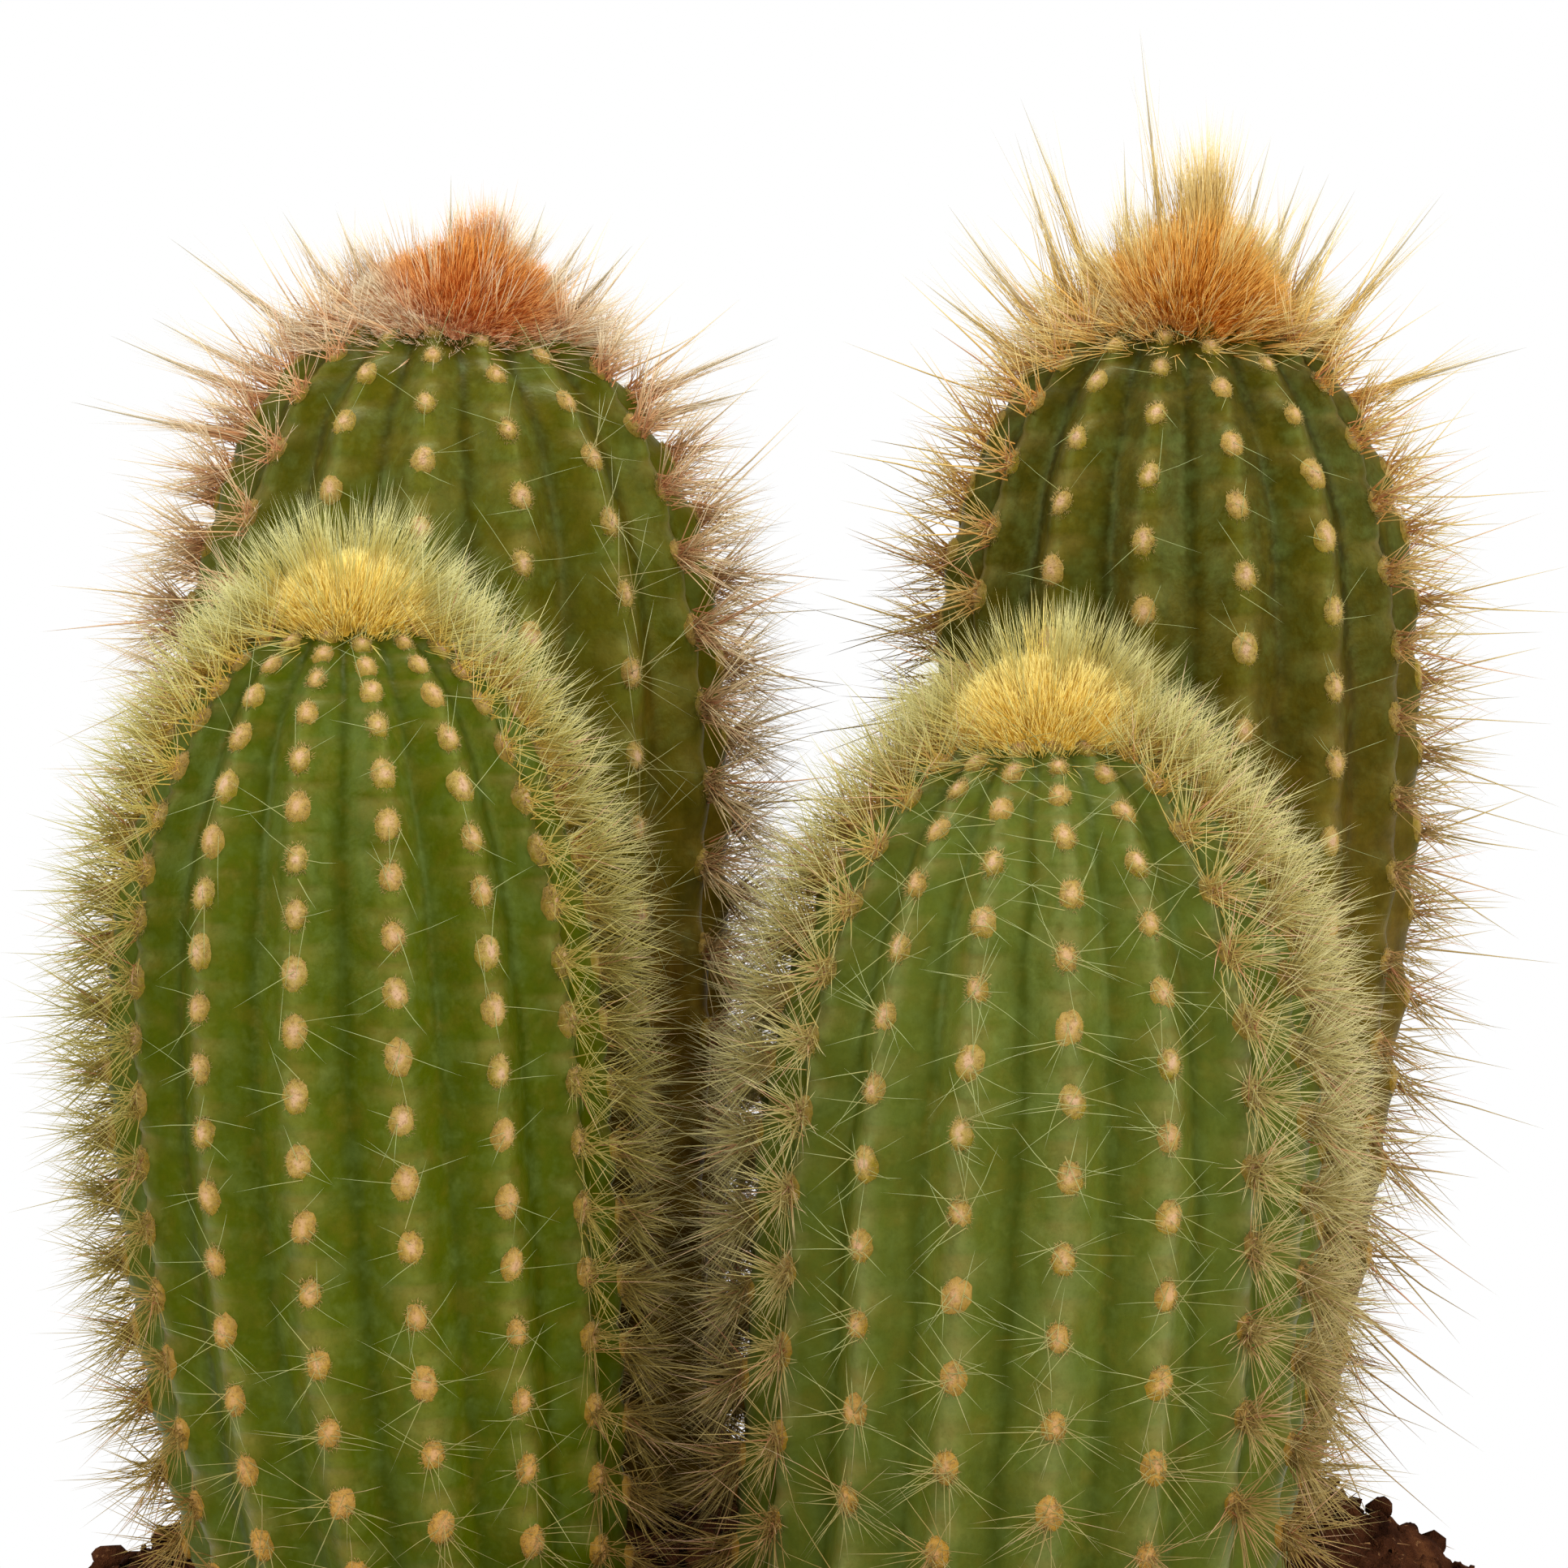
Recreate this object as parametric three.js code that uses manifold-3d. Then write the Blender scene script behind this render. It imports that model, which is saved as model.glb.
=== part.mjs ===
// A potted cactus: four ribbed, columnar stems with spines, standing in a proud heap of peaty soil
// in a plain clay pot. Millimetres, +Z up, origin at the middle of the pot's underside, and the two
// shorter, yellow-crowned stems stand at the front (-Y).
import * as THREE from "three";
import { mergeVertices } from "three/addons/utils/BufferGeometryUtils.js";
import Module from "manifold-3d";

// ---------------------------------------------------------------- driving dimensions

const GAP = 0.3; // clearance between neighbouring pieces

const POT = {
  height: 120,
  footRadius: 45, // underside
  neckRadius: 58.5, // body, just under the collar
  collarHeight: 26,
  rimRadius: 66, // outside of the collar at the top
  mouthRadius: 61,
  wall: 5.5,
  floor: 7,
  drainRadius: 6.5,
  segments: 36,
};

const SOIL = {
  level: 128, // where the stems leave it
  edgeHeight: 117, // where it meets the pot's wall
  shoulderRadius: 54, // the heap is nearly flat inside this radius
  lump: 0.6, // height of its lumps
};

const PLUG = { depth: 21.7, share: 0.9, taper: 0.82 }; // the round, ribless foot of a stem, in the soil

// shoulder and top are heights over the pot's underside, and dome is the power that rounds the top.
// face is the angle from the front to the nearest rib, in degrees. shift over ribs is how far the
// areoles of one rib lie above those of the rib before it, as a share of their pitch.
const STEMS = [
  {
    name: "front_left", foot: [-27, -25], lean: [-5.5, -1.5],
    girth: 19.1, footGirth: 15.9, shoulder: 167, top: 207.5, dome: 2.5,
    ribs: 15, rows: 15, shift: 10, face: 12, spine: 6.4, longSpine: 7.5, crown: 7, spire: 8.5,
    skin: 0x5a7a2e, tuft: 0xd6b54c, seed: 3,
  },
  {
    name: "front_right", foot: [17.5, -25], lean: [3.2, -1],
    girth: 21.8, footGirth: 21.2, shoulder: 160, top: 199, dome: 2.2,
    ribs: 17, rows: 11, shift: 8, face: 4.3, spine: 7.4, longSpine: 8.5, crown: 7.5, spire: 9,
    skin: 0x56782f, tuft: 0xd9b650, seed: 5,
  },
  {
    name: "back_left", foot: [-24, 25], lean: [-2.8, 1.5],
    girth: 22.3, footGirth: 19.5, shoulder: 188, top: 228.5, dome: 2.6,
    ribs: 15, rows: 14, shift: 7, face: -5, spine: 7, longSpine: 11.5, crown: 7.5, spire: 10,
    skin: 0x4d6424, tuft: 0xc4702c, seed: 8,
  },
  {
    name: "back_right", foot: [29.5, 25], lean: [3.7, 2],
    girth: 20, footGirth: 14.6, shoulder: 190, top: 228.5, dome: 2.6,
    ribs: 15, rows: 14, shift: 7, face: -10.5, spine: 7.5, longSpine: 13, crown: 9, spire: 24,
    skin: 0x47602a, tuft: 0xcc7a34, seed: 13,
  },
];

const BEND = 2.5; // how early a leaning stem turns upright
const RIB_DEPTH = 0.13; // of the stem's radius
const FIRST_ROW = 3.5; // the ribs begin this far over the soil
const APEX_RADIUS = 9.5; // the flat growing point, under the crown
const ROW_CROWDING = 0.25; // rows lie closer together towards the apex
const AREOLE = { halfHeight: 1.05, halfWidth: 0.75, rise: 0.45 };
const LONG_EVERY = 4; // each fourth areole carries a long spine
const CLEAR = 0.75; // least distance between two spines, or between a spine and a neighbour's skin
const TRIES = 40;

const CROWN = {
  sides: 11,
  // [radius, height] of the core's rings, from its flat underside up
  rings: [[8.4, 0], [9, 1], [7.4, 2.6], [4, 3.9]],
  height: 4.4,
  inset: 0.42, // a spine's root against the facet that it stands on
};

// ---------------------------------------------------------------- small helpers

const TURN = 2 * Math.PI;
const wasm = await Module();
wasm.setup();

function randomFrom(seed) {
  let state = seed >>> 0;
  return () => {
    state = (state + 0x6d2b79f5) >>> 0;
    let t = Math.imul(state ^ (state >>> 15), 1 | state);
    t = (t + Math.imul(t ^ (t >>> 7), 61 | t)) ^ t;
    return ((t ^ (t >>> 14)) >>> 0) / 4294967296;
  };
}

// A closed triangle mesh that is built up point by point.
class Skin {
  points = [];
  faces = [];

  point(v) {
    this.points.push(v.x, v.y, v.z);
    return this.points.length / 3 - 1;
  }

  at(i) {
    return new THREE.Vector3().fromArray(this.points, 3 * i);
  }

  // Leaves out a face that has lost a corner, such as beside a plain point of a rib.
  face(a, b, c) {
    if (a !== b && b !== c && c !== a) this.faces.push(a, b, c);
  }

  geometry() {
    const made = new THREE.BufferGeometry();
    made.setAttribute("position", new THREE.Float32BufferAttribute(this.points, 3));
    made.setIndex(this.faces);
    made.computeVertexNormals();
    return made;
  }
}

function solidFrom(geometry) {
  const bare = geometry.clone();
  bare.deleteAttribute("normal");
  bare.deleteAttribute("uv");
  const merged = mergeVertices(bare, 1e-4);
  return new wasm.Manifold(
    new wasm.Mesh({
      numProp: 3,
      vertProperties: new Float32Array(merged.attributes.position.array),
      triVerts: new Uint32Array(merged.index.array),
    }),
  );
}

function geometryFrom(solid) {
  const { vertProperties, triVerts } = solid.getMesh();
  const made = new THREE.BufferGeometry();
  made.setAttribute("position", new THREE.BufferAttribute(vertProperties, 3));
  made.setIndex(new THREE.BufferAttribute(triVerts, 1));
  made.computeVertexNormals();
  return made;
}

function piece(name, geometry, color, roughness) {
  const material = new THREE.MeshStandardMaterial({ color, roughness, metalness: 0, flatShading: true });
  const mesh = new THREE.Mesh(geometry, material);
  mesh.name = name;
  return mesh;
}

// ---------------------------------------------------------------- a stem's form

const smoothTop = (stem, z) => {
  const u = (z - stem.shoulder) / (stem.top - stem.shoulder);
  return stem.girth * Math.sqrt(Math.max(0, 1 - u ** stem.dome));
};

// Radius over the ribs' crests, at a height.
function radiusAt(stem, z) {
  if (z > stem.shoulder) return smoothTop(stem, z);
  const w = Math.max(0, (z - SOIL.level) / (stem.shoulder - SOIL.level));
  return stem.girth - (stem.girth - stem.footGirth) * (1 - w) ** 2;
}

// The stem's middle, at a height: it leans out of the soil and then turns upright.
function middleAt(stem, z) {
  const t = Math.min(1, Math.max(0, (z - SOIL.level) / (stem.top - SOIL.level)));
  const share = 1 - (1 - t) ** BEND;
  return new THREE.Vector3(stem.foot[0] + stem.lean[0] * share, stem.foot[1] + stem.lean[1] * share, z);
}

// Direction of the first rib about the axis.
const firstAngle = (stem) => THREE.MathUtils.degToRad(stem.face) - Math.PI / 2;

// Height of the flat growing point.
const apexOf = (stem) => stem.shoulder
  + (stem.top - stem.shoulder) * (1 - (APEX_RADIUS / stem.girth) ** 2) ** (1 / stem.dome);

// The skin's outline from the lowest rib to the growing point.
function meridian(stem) {
  const low = SOIL.level + FIRST_ROW;
  const high = apexOf(stem);
  const steps = 400;
  const line = [];
  for (let i = 0; i <= steps; i++) {
    const z = low + (high - low) * Math.sin((i / steps) * (Math.PI / 2));
    line.push(new THREE.Vector2(radiusAt(stem, z), z));
  }
  return new THREE.SplineCurve(line.filter((_, i) => i % 8 === 0));
}

// A place on the skin: share 0 is the lowest rib and 1 the growing point, and angle is about the axis.
function placeOn(stem, line, share, angle, sink = 0) {
  const along = THREE.MathUtils.clamp(share, 0, 1);
  const at = line.getPointAt(along);
  const ahead = line.getTangentAt(along);
  const outward = new THREE.Vector3(Math.cos(angle), Math.sin(angle), 0);
  const middle = middleAt(stem, at.y);
  return {
    point: middle.clone().addScaledVector(outward, at.x * (1 - sink)),
    normal: outward.clone().multiplyScalar(ahead.y).setZ(-ahead.x).normalize(),
    up: outward.clone().multiplyScalar(ahead.x).setZ(ahead.y).normalize(),
    side: new THREE.Vector3(-Math.sin(angle), Math.cos(angle), 0),
    share: along,
  };
}

// ---------------------------------------------------------------- spines that keep clear

const spines = []; // every spine so far, as { root, tip, base }

function gapBetween(p, q) {
  const d1 = p.tip.clone().sub(p.root);
  const d2 = q.tip.clone().sub(q.root);
  const r = p.root.clone().sub(q.root);
  const a = d1.dot(d1), e = d2.dot(d2), f = d2.dot(r), c = d1.dot(r), b = d1.dot(d2);
  const clamp = (x) => THREE.MathUtils.clamp(x, 0, 1);
  const denominator = a * e - b * b;
  let s = denominator > 1e-9 ? clamp((b * f - c * e) / denominator) : 0;
  const t = clamp((b * s + f) / e);
  s = clamp((b * t - c) / a);
  return p.root.clone().addScaledVector(d1, s).distanceTo(q.root.clone().addScaledVector(d2, t));
}

// True if a point is in or near the soil, another stem, or a crown other than its own.
function meets(point, own, onCrown) {
  if (point.z < SOIL.level + SOIL.lump + CLEAR) return true;
  return STEMS.some((other) => {
    const middle = middleAt(other, point.z);
    const away = Math.hypot(point.x - middle.x, point.y - middle.y);
    const apex = apexOf(other);
    const reach = radiusAt(other, point.z) + AREOLE.rise + CLEAR;
    if (point.z < apex) return other !== own && away < reach;
    if (other === own && onCrown) return false;
    return point.z < apex + CROWN.height + CLEAR && away < CROWN.rings[1][0] + CLEAR;
  });
}

// Draws ways for a spine until one is clear of all that stands already, shortening it in turn.
function spineFrom({ root, length, stem, base, onCrown }, draw) {
  for (const share of [1, 0.8, 0.6]) {
    for (let n = 0; n < TRIES; n++) {
      const tip = root.clone().addScaledVector(draw(), length * share);
      const made = { root, tip, base };
      const along = [0.35, 0.6, 0.8, 1].map((s) => root.clone().lerp(tip, s));
      if (along.some((p) => meets(p, stem, onCrown))) continue;
      if (spines.some((other) => other.base !== base && gapBetween(made, other) < CLEAR)) continue;
      spines.push(made);
      return made;
    }
  }
  return null;
}

// ---------------------------------------------------------------- stems

// An areole's raised pad: four points round a place on a rib's crest.
function areole(skin, place) {
  const lifted = place.point.clone().addScaledVector(place.normal, AREOLE.rise);
  const out = (v, by) => skin.point(lifted.clone().addScaledVector(v, by));
  return {
    down: out(place.up, -AREOLE.halfHeight),
    left: out(place.side, -AREOLE.halfWidth),
    right: out(place.side, AREOLE.halfWidth),
    up: out(place.up, AREOLE.halfHeight),
    place,
  };
}

function plainPoint(skin, v) {
  const i = skin.point(v);
  return { down: i, left: i, right: i, up: i };
}

// Closes half of an areole's pad, with a spine on it where one fits.
function standSpine(skin, stem, pad, side, random, length) {
  const { up, normal, side: across, share } = pad.place;
  const corners = side < 0 ? [pad.up, pad.left, pad.down] : [pad.up, pad.down, pad.right];
  const root = corners.reduce((sum, i) => sum.add(skin.at(i)), new THREE.Vector3()).divideScalar(3);
  const rising = 1.1 * share ** 2 - 0.35 * (1 - share);
  const draw = () => new THREE.Vector3()
    .addScaledVector(normal, 0.55 + 0.6 * random())
    .addScaledVector(across, side * (0.35 + 0.75 * random()))
    .addScaledVector(up, rising + 0.9 * (random() - 0.5))
    .normalize();
  const spine = spineFrom({ root, length, stem, base: pad, onCrown: false }, draw);
  if (!spine) {
    skin.face(...corners);
    return;
  }
  const tip = skin.point(spine.tip);
  corners.forEach((c, i) => skin.face(c, corners[(i + 1) % 3], tip));
}

function stemPiece(stem) {
  const skin = new Skin();
  const lines = ribLines(skin, stem);
  closeFlanks(skin, stem, lines);
  closeTop(skin, stem, lines);
  closeFoot(skin, stem, lines);
  standSpines(skin, stem, lines.crests);
  return piece("stem_" + stem.name, skin.geometry(), stem.skin, 0.62);
}

// crests[k] runs up rib k, as a plain point, its areoles and a plain point again, and grooves[k] runs
// up between that rib and the next.
function ribLines(skin, stem) {
  const line = meridian(stem);
  const angleOf = (k) => firstAngle(stem) + (k / stem.ribs) * TURN;
  const offset = (k) => ((k * stem.shift) % stem.ribs) / stem.ribs;
  const shareOf = (row, shift) => {
    const v = (row + 0.35 + shift) / (stem.rows + 0.7);
    return v + ROW_CROWDING * v * (1 - v);
  };
  const crests = [];
  const grooves = [];
  for (let k = 0; k < stem.ribs; k++) {
    const between = (offset(k) + offset((k + 1) % stem.ribs)) / 2;
    const crest = [plainPoint(skin, placeOn(stem, line, 0, angleOf(k)).point)];
    const groove = [skin.point(placeOn(stem, line, 0, angleOf(k + 0.5), RIB_DEPTH / 2).point)];
    for (let row = 0; row < stem.rows; row++) {
      crest.push(areole(skin, placeOn(stem, line, shareOf(row, offset(k)), angleOf(k))));
      const low = placeOn(stem, line, shareOf(row, between), angleOf(k + 0.5), RIB_DEPTH);
      groove.push(skin.point(low.point));
    }
    crest.push(plainPoint(skin, placeOn(stem, line, 1, angleOf(k)).point));
    groove.push(skin.point(placeOn(stem, line, 1, angleOf(k + 0.5)).point));
    crests.push(crest);
    grooves.push(groove);
  }
  return { crests, grooves };
}

// The skin on both flanks of each rib, which leaves the areoles' pads open.
function closeFlanks(skin, stem, { crests, grooves }) {
  crests.forEach((crest, k) => {
    const right = grooves[k];
    const left = grooves.at(k - 1);
    for (let i = 0; i <= stem.rows; i++) {
      const low = crest[i];
      const high = crest[i + 1];
      skin.face(left[i], low.left, low.up);
      skin.face(left[i], low.up, high.down);
      skin.face(left[i], high.down, left[i + 1]);
      skin.face(left[i + 1], high.down, high.left);
      skin.face(right[i], low.up, low.right);
      skin.face(right[i], high.down, low.up);
      skin.face(right[i], right[i + 1], high.down);
      skin.face(right[i + 1], high.right, high.down);
    }
  });
}

function standSpines(skin, stem, crests) {
  const random = randomFrom(stem.seed);
  for (let row = 1; row <= stem.rows; row++) {
    crests.forEach((crest, k) => {
      const isLong = (row + 3 * k) % LONG_EVERY === 0;
      const fade = 0.85 + 0.3 * random();
      const first = random() < 0.5 ? -1 : 1;
      standSpine(skin, stem, crest[row], first, random, (isLong ? stem.longSpine : stem.spine) * fade);
      standSpine(skin, stem, crest[row], -first, random, stem.spine * fade);
    });
  }
}

// The ring of points at a row, crest and groove in turn.
const ringOf = ({ crests, grooves }, row) => (
  crests.flatMap((crest, k) => [crest.at(row).up, grooves[k].at(row)])
);

function closeTop(skin, stem, lines) {
  const ring = ringOf(lines, -1);
  const middle = middleAt(stem, skin.at(ring[0]).z);
  const centre = skin.point(middle);
  ring.forEach((a, i) => skin.face(a, ring[(i + 1) % ring.length], centre));
}

// Under its ribs a stem is a round plug, which stands in a plain hole in the soil.
function closeFoot(skin, stem, lines) {
  let above = ringOf(lines, 0);
  const sides = above.length;
  const waist = SOIL.level + SOIL.lump + 4 * GAP;
  const radius = stem.footGirth * PLUG.share;
  const levels = [[radius, waist], [radius * PLUG.taper, SOIL.level - PLUG.depth]];
  for (const [r, z] of levels) {
    const ring = above.map((_, i) => {
      const angle = firstAngle(stem) + (i / sides) * TURN;
      const [x, y] = stem.foot;
      return skin.point(new THREE.Vector3(x + r * Math.cos(angle), y + r * Math.sin(angle), z));
    });
    ring.forEach((a, i) => {
      const next = (i + 1) % sides;
      skin.face(a, ring[next], above[next]);
      skin.face(a, above[next], above[i]);
    });
    above = ring;
  }
  const centre = skin.point(new THREE.Vector3(stem.foot[0], stem.foot[1], SOIL.level - PLUG.depth));
  above.forEach((a, i) => skin.face(above[(i + 1) % sides], a, centre));
}

// ---------------------------------------------------------------- crowns

// A crown is the tuft of young spines on the growing point: a low core that the spines stand out of.
function crownPiece(stem) {
  const skin = new Skin();
  const random = randomFrom(stem.seed + 100);
  const seat = apexOf(stem) + GAP;
  const middle = middleAt(stem, seat);
  const at = (r, angle, h) => skin.point(
    new THREE.Vector3(middle.x + r * Math.cos(angle), middle.y + r * Math.sin(angle), seat + h),
  );
  const rings = CROWN.rings.map(([r, h], j) => (
    Array.from({ length: CROWN.sides }, (_, i) => at(r, ((i + j / 2) / CROWN.sides) * TURN, h))
  ));
  const under = at(0, 0, 0);
  const peak = at(0, 0, CROWN.height);
  const facets = [];
  for (let i = 0; i < CROWN.sides; i++) {
    const next = (i + 1) % CROWN.sides;
    skin.face(rings[0][next], rings[0][i], under);
    for (let j = 0; j + 1 < rings.length; j++) {
      facets.push([rings[j][i], rings[j][next], rings[j + 1][i]]);
      facets.push([rings[j + 1][i], rings[j][next], rings[j + 1][next]]);
    }
    facets.push([rings.at(-1)[i], rings.at(-1)[next], peak]);
  }
  for (const corners of facets.reverse()) crownSpine(skin, stem, corners, middle, seat, random);
  return piece("crown_" + stem.name, skin.geometry(), stem.tuft, 0.8);
}

// Stands a spine on a facet of the core, with a root smaller than the facet.
function crownSpine(skin, stem, corners, middle, seat, random) {
  const points = corners.map((i) => skin.at(i));
  const root = points.reduce((sum, p) => sum.add(p), new THREE.Vector3()).divideScalar(3);
  const away = root.clone().sub(middle);
  const height = root.z - seat;
  const upright = height / CROWN.height;
  const wanted = THREE.MathUtils.lerp(stem.crown, stem.spire, upright ** 4 * random());
  const draw = () => new THREE.Vector3(away.x, away.y, 0)
    .multiplyScalar(0.16)
    .add(new THREE.Vector3(random() - 0.5, random() - 0.5, 0).multiplyScalar(0.5))
    .setZ(0.35 + 1.1 * upright + 0.3 * random())
    .normalize();
  const length = wanted * (0.75 + 0.35 * random());
  const spine = spineFrom({ root, length, stem, base: corners, onCrown: true }, draw);
  if (!spine) {
    skin.face(...corners);
    return;
  }
  const foot = points.map((p) => skin.point(root.clone().lerp(p, CROWN.inset)));
  const tip = skin.point(spine.tip);
  corners.forEach((c, i) => {
    const next = (i + 1) % 3;
    skin.face(c, corners[next], foot[next]);
    skin.face(c, foot[next], foot[i]);
    skin.face(foot[i], foot[next], tip);
  });
}

// ---------------------------------------------------------------- pot and soil

function potPiece() {
  const { height, footRadius: foot, rimRadius: rim, mouthRadius: mouth, drainRadius: drain } = POT;
  const collar = height - POT.collarHeight;
  const inside = foot - POT.wall;
  const profile = [
    [drain, 0], [foot - 1.5, 0], [foot, 1.5], [POT.neckRadius, collar - 1.5],
    [rim - 3.5, collar], [rim, height - 2.5], [rim - 1.2, height - 0.4],
    [(rim + mouth) / 2, height], [mouth + 0.6, height - 0.6], [mouth, height - 2.5],
    [inside + 1, POT.floor + 2], [inside - 1, POT.floor], [drain, POT.floor], [drain, 0],
  ].map(([r, z]) => new THREE.Vector2(r, z));
  const geometry = new THREE.LatheGeometry(profile, POT.segments).rotateX(Math.PI / 2);
  return piece("pot", geometry, 0xb5653f, 0.85);
}

// Radius of the pot's inner wall, at a height.
function wallAt(z) {
  const low = POT.floor + 2;
  const t = (z - low) / (POT.height - 2.5 - low);
  return THREE.MathUtils.lerp(POT.footRadius - POT.wall + 1, POT.mouthRadius, t);
}

// Lumps of the soil's surface, which fade out towards the pot's wall.
const lumps = (x, y) => SOIL.lump
  * (Math.sin(0.31 * x + 1.3) * Math.sin(0.27 * y + 0.4) + 0.5 * Math.sin(0.83 * x - 0.59 * y))
  / 1.5;

function soilPiece() {
  const skin = new Skin();
  const bottom = POT.floor + GAP;
  const { shoulderRadius: shoulder, edgeHeight: edge, level } = SOIL;
  const crumble = level - edge;
  // [radius, height, share of the lumps] of the rings, from the underside's edge up and inwards
  const rings = [
    [POT.footRadius - POT.wall - 1 - GAP, bottom, 0],
    [wallAt(bottom + 2) - GAP, bottom + 2, 0],
    [wallAt(edge) - GAP, edge, 0],
    [shoulder + 4.6, edge + 0.5 * crumble, 0.5],
    [shoulder + 2.2, edge + 0.86 * crumble, 1],
    [shoulder - 2, level, 1],
    [shoulder * 0.7, level, 1],
    [shoulder * 0.36, level, 1],
  ];
  const rows = rings.map(([r, z, share]) => Array.from({ length: POT.segments }, (_, i) => {
    const angle = (i / POT.segments) * TURN;
    const x = r * Math.cos(angle);
    const y = r * Math.sin(angle);
    return skin.point(new THREE.Vector3(x, y, z + share * lumps(x, y)));
  }));
  const under = skin.point(new THREE.Vector3(0, 0, bottom));
  const over = skin.point(new THREE.Vector3(0, 0, level + lumps(0, 0)));
  for (let i = 0; i < POT.segments; i++) {
    const next = (i + 1) % POT.segments;
    skin.face(rows[0][next], rows[0][i], under);
    skin.face(rows.at(-1)[i], rows.at(-1)[next], over);
    for (let j = 0; j + 1 < rows.length; j++) {
      skin.face(rows[j][i], rows[j][next], rows[j + 1][next]);
      skin.face(rows[j][i], rows[j + 1][next], rows[j + 1][i]);
    }
  }
  let solid = solidFrom(skin.geometry());
  for (const stem of STEMS) solid = solid.subtract(holeFor(stem));
  return piece("soil", geometryFrom(solid), 0x33231b, 1);
}

// A plain hole that takes a stem's plug with a little room.
function holeFor(stem) {
  const sides = 2 * stem.ribs;
  const grow = GAP / Math.cos(Math.PI / sides);
  const radius = stem.footGirth * PLUG.share;
  const above = 6;
  const depth = PLUG.depth + GAP;
  const slope = (radius * (1 - PLUG.taper)) / (PLUG.depth + SOIL.lump + 4 * GAP);
  const topRadius = radius + grow + slope * above;
  const bottomRadius = radius * PLUG.taper + grow;
  const geometry = new THREE.CylinderGeometry(topRadius, bottomRadius, depth + above, sides)
    .rotateX(Math.PI / 2)
    .rotateZ(THREE.MathUtils.degToRad(stem.face))
    .translate(stem.foot[0], stem.foot[1], SOIL.level + (above - depth) / 2);
  return solidFrom(geometry);
}

// ---------------------------------------------------------------- the whole plant

const plant = new THREE.Group();
plant.add(potPiece(), soilPiece());
plant.add(...STEMS.map(stemPiece));
plant.add(...STEMS.map(crownPiece));

export default plant;
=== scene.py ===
"""The potted cactus, dressed: fine spines, felted areoles, tufted crowns, crumbly soil and baked clay.

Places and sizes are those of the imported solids. Lengths are millimetres, turned to metres when a mesh
is made. Colours are red, green and blue as seen on a screen. The two golden-crowned stems stand at the
front (-Y).
"""
import math

import bpy
import numpy as np
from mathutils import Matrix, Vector, noise


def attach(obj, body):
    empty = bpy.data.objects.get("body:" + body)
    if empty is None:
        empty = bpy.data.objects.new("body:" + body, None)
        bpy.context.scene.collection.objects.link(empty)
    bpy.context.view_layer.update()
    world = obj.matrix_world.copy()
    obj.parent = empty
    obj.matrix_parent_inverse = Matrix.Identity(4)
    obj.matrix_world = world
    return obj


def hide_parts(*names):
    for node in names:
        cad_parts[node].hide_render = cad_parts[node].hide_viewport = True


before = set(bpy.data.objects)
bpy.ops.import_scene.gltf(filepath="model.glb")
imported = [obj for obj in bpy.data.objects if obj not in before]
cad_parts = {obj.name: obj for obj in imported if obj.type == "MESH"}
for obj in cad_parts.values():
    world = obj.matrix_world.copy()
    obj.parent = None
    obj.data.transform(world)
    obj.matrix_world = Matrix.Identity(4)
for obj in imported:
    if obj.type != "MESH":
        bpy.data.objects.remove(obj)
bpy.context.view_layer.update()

# ---------------- sizes shared with the solids

MM = 0.001
SOIL_LEVEL = 128.0
RIBS_BEGIN = 131.5  # height of the lowest rib point
APEX_RADIUS = 9.5  # the skin above this ring lies under the crown's solid
ROW_START = 0.35  # the lowest row's distance from the lowest rib point, in pitches of a rib
ROW_CROWDING = 0.25
BEND = 2.5

POT_HEIGHT = 120.0
POT_FOOT = 45.0
POT_NECK = 58.5
POT_RIM = 66.0
POT_MOUTH = 61.0
POT_WALL = 5.5
POT_FLOOR = 7.0
POT_DRAIN = 6.5
POT_COLLAR = 94.0

STEMS = {
    "front_left": dict(
        foot=(-27.0, -25.0), lean=(-5.5, -1.5), girth=19.1, foot_girth=15.9,
        shoulder=167.0, top=207.5, dome=2.5, ribs=15, rows=15, shift=10, face=12.0,
    ),
    "front_right": dict(
        foot=(17.5, -25.0), lean=(3.2, -1.0), girth=21.8, foot_girth=21.2,
        shoulder=160.0, top=199.0, dome=2.2, ribs=17, rows=11, shift=8, face=4.3,
    ),
    "back_left": dict(
        foot=(-24.0, 25.0), lean=(-2.8, 1.5), girth=22.3, foot_girth=19.5,
        shoulder=188.0, top=228.5, dome=2.6, ribs=15, rows=14, shift=7, face=-5.0,
    ),
    "back_right": dict(
        foot=(29.5, 25.0), lean=(3.7, 2.0), girth=20.0, foot_girth=14.6,
        shoulder=190.0, top=228.5, dome=2.6, ribs=15, rows=14, shift=7, face=-10.5,
    ),
}

# ---------------- looks of each stem

# Values in fours hold at the shares of a stem's height in AGES. Colours run from root to tip, and the
# skin's from groove to crest. FRONT and BACK hold what two stems share, and the cork value says how
# corky a foot is and so how dark it is, which is partly real cork and partly painted shade. spines: how
# many to an areole; reach: their length; cone: the widest angle off the skin's normal; rise: how far
# they are drawn upward, drooping where negative; bare: the share of its spines that an areole which
# faces the front lacks. The barest side lies bare_turn degrees right of the front, and from the cosine
# bare_from on areoles begin to face it. wool is the radius of the crown's wool, which bulges by
# wool_height and by peak more at the flame, the brightest spot, which lies flame mm right of the middle.
# Short bright hairs cover it, away from the flame shorter by heart_droop, paler by fade and pale beyond
# the share heart_width. A narrow plume stands at the flame, within plume_width wool radii, long pale
# tips among them and a collar of long pale hairs round them.
AGES = (0.0, 0.35, 0.75, 1.0)
FRONT = dict(
    slot="skin_front", crown_slot="crown_golden", cork=0.0,
    heart_droop=0.45, heart_fan=66, fade=0.1, plume_width=0.3, plume_pale=0.1,
)
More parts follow.
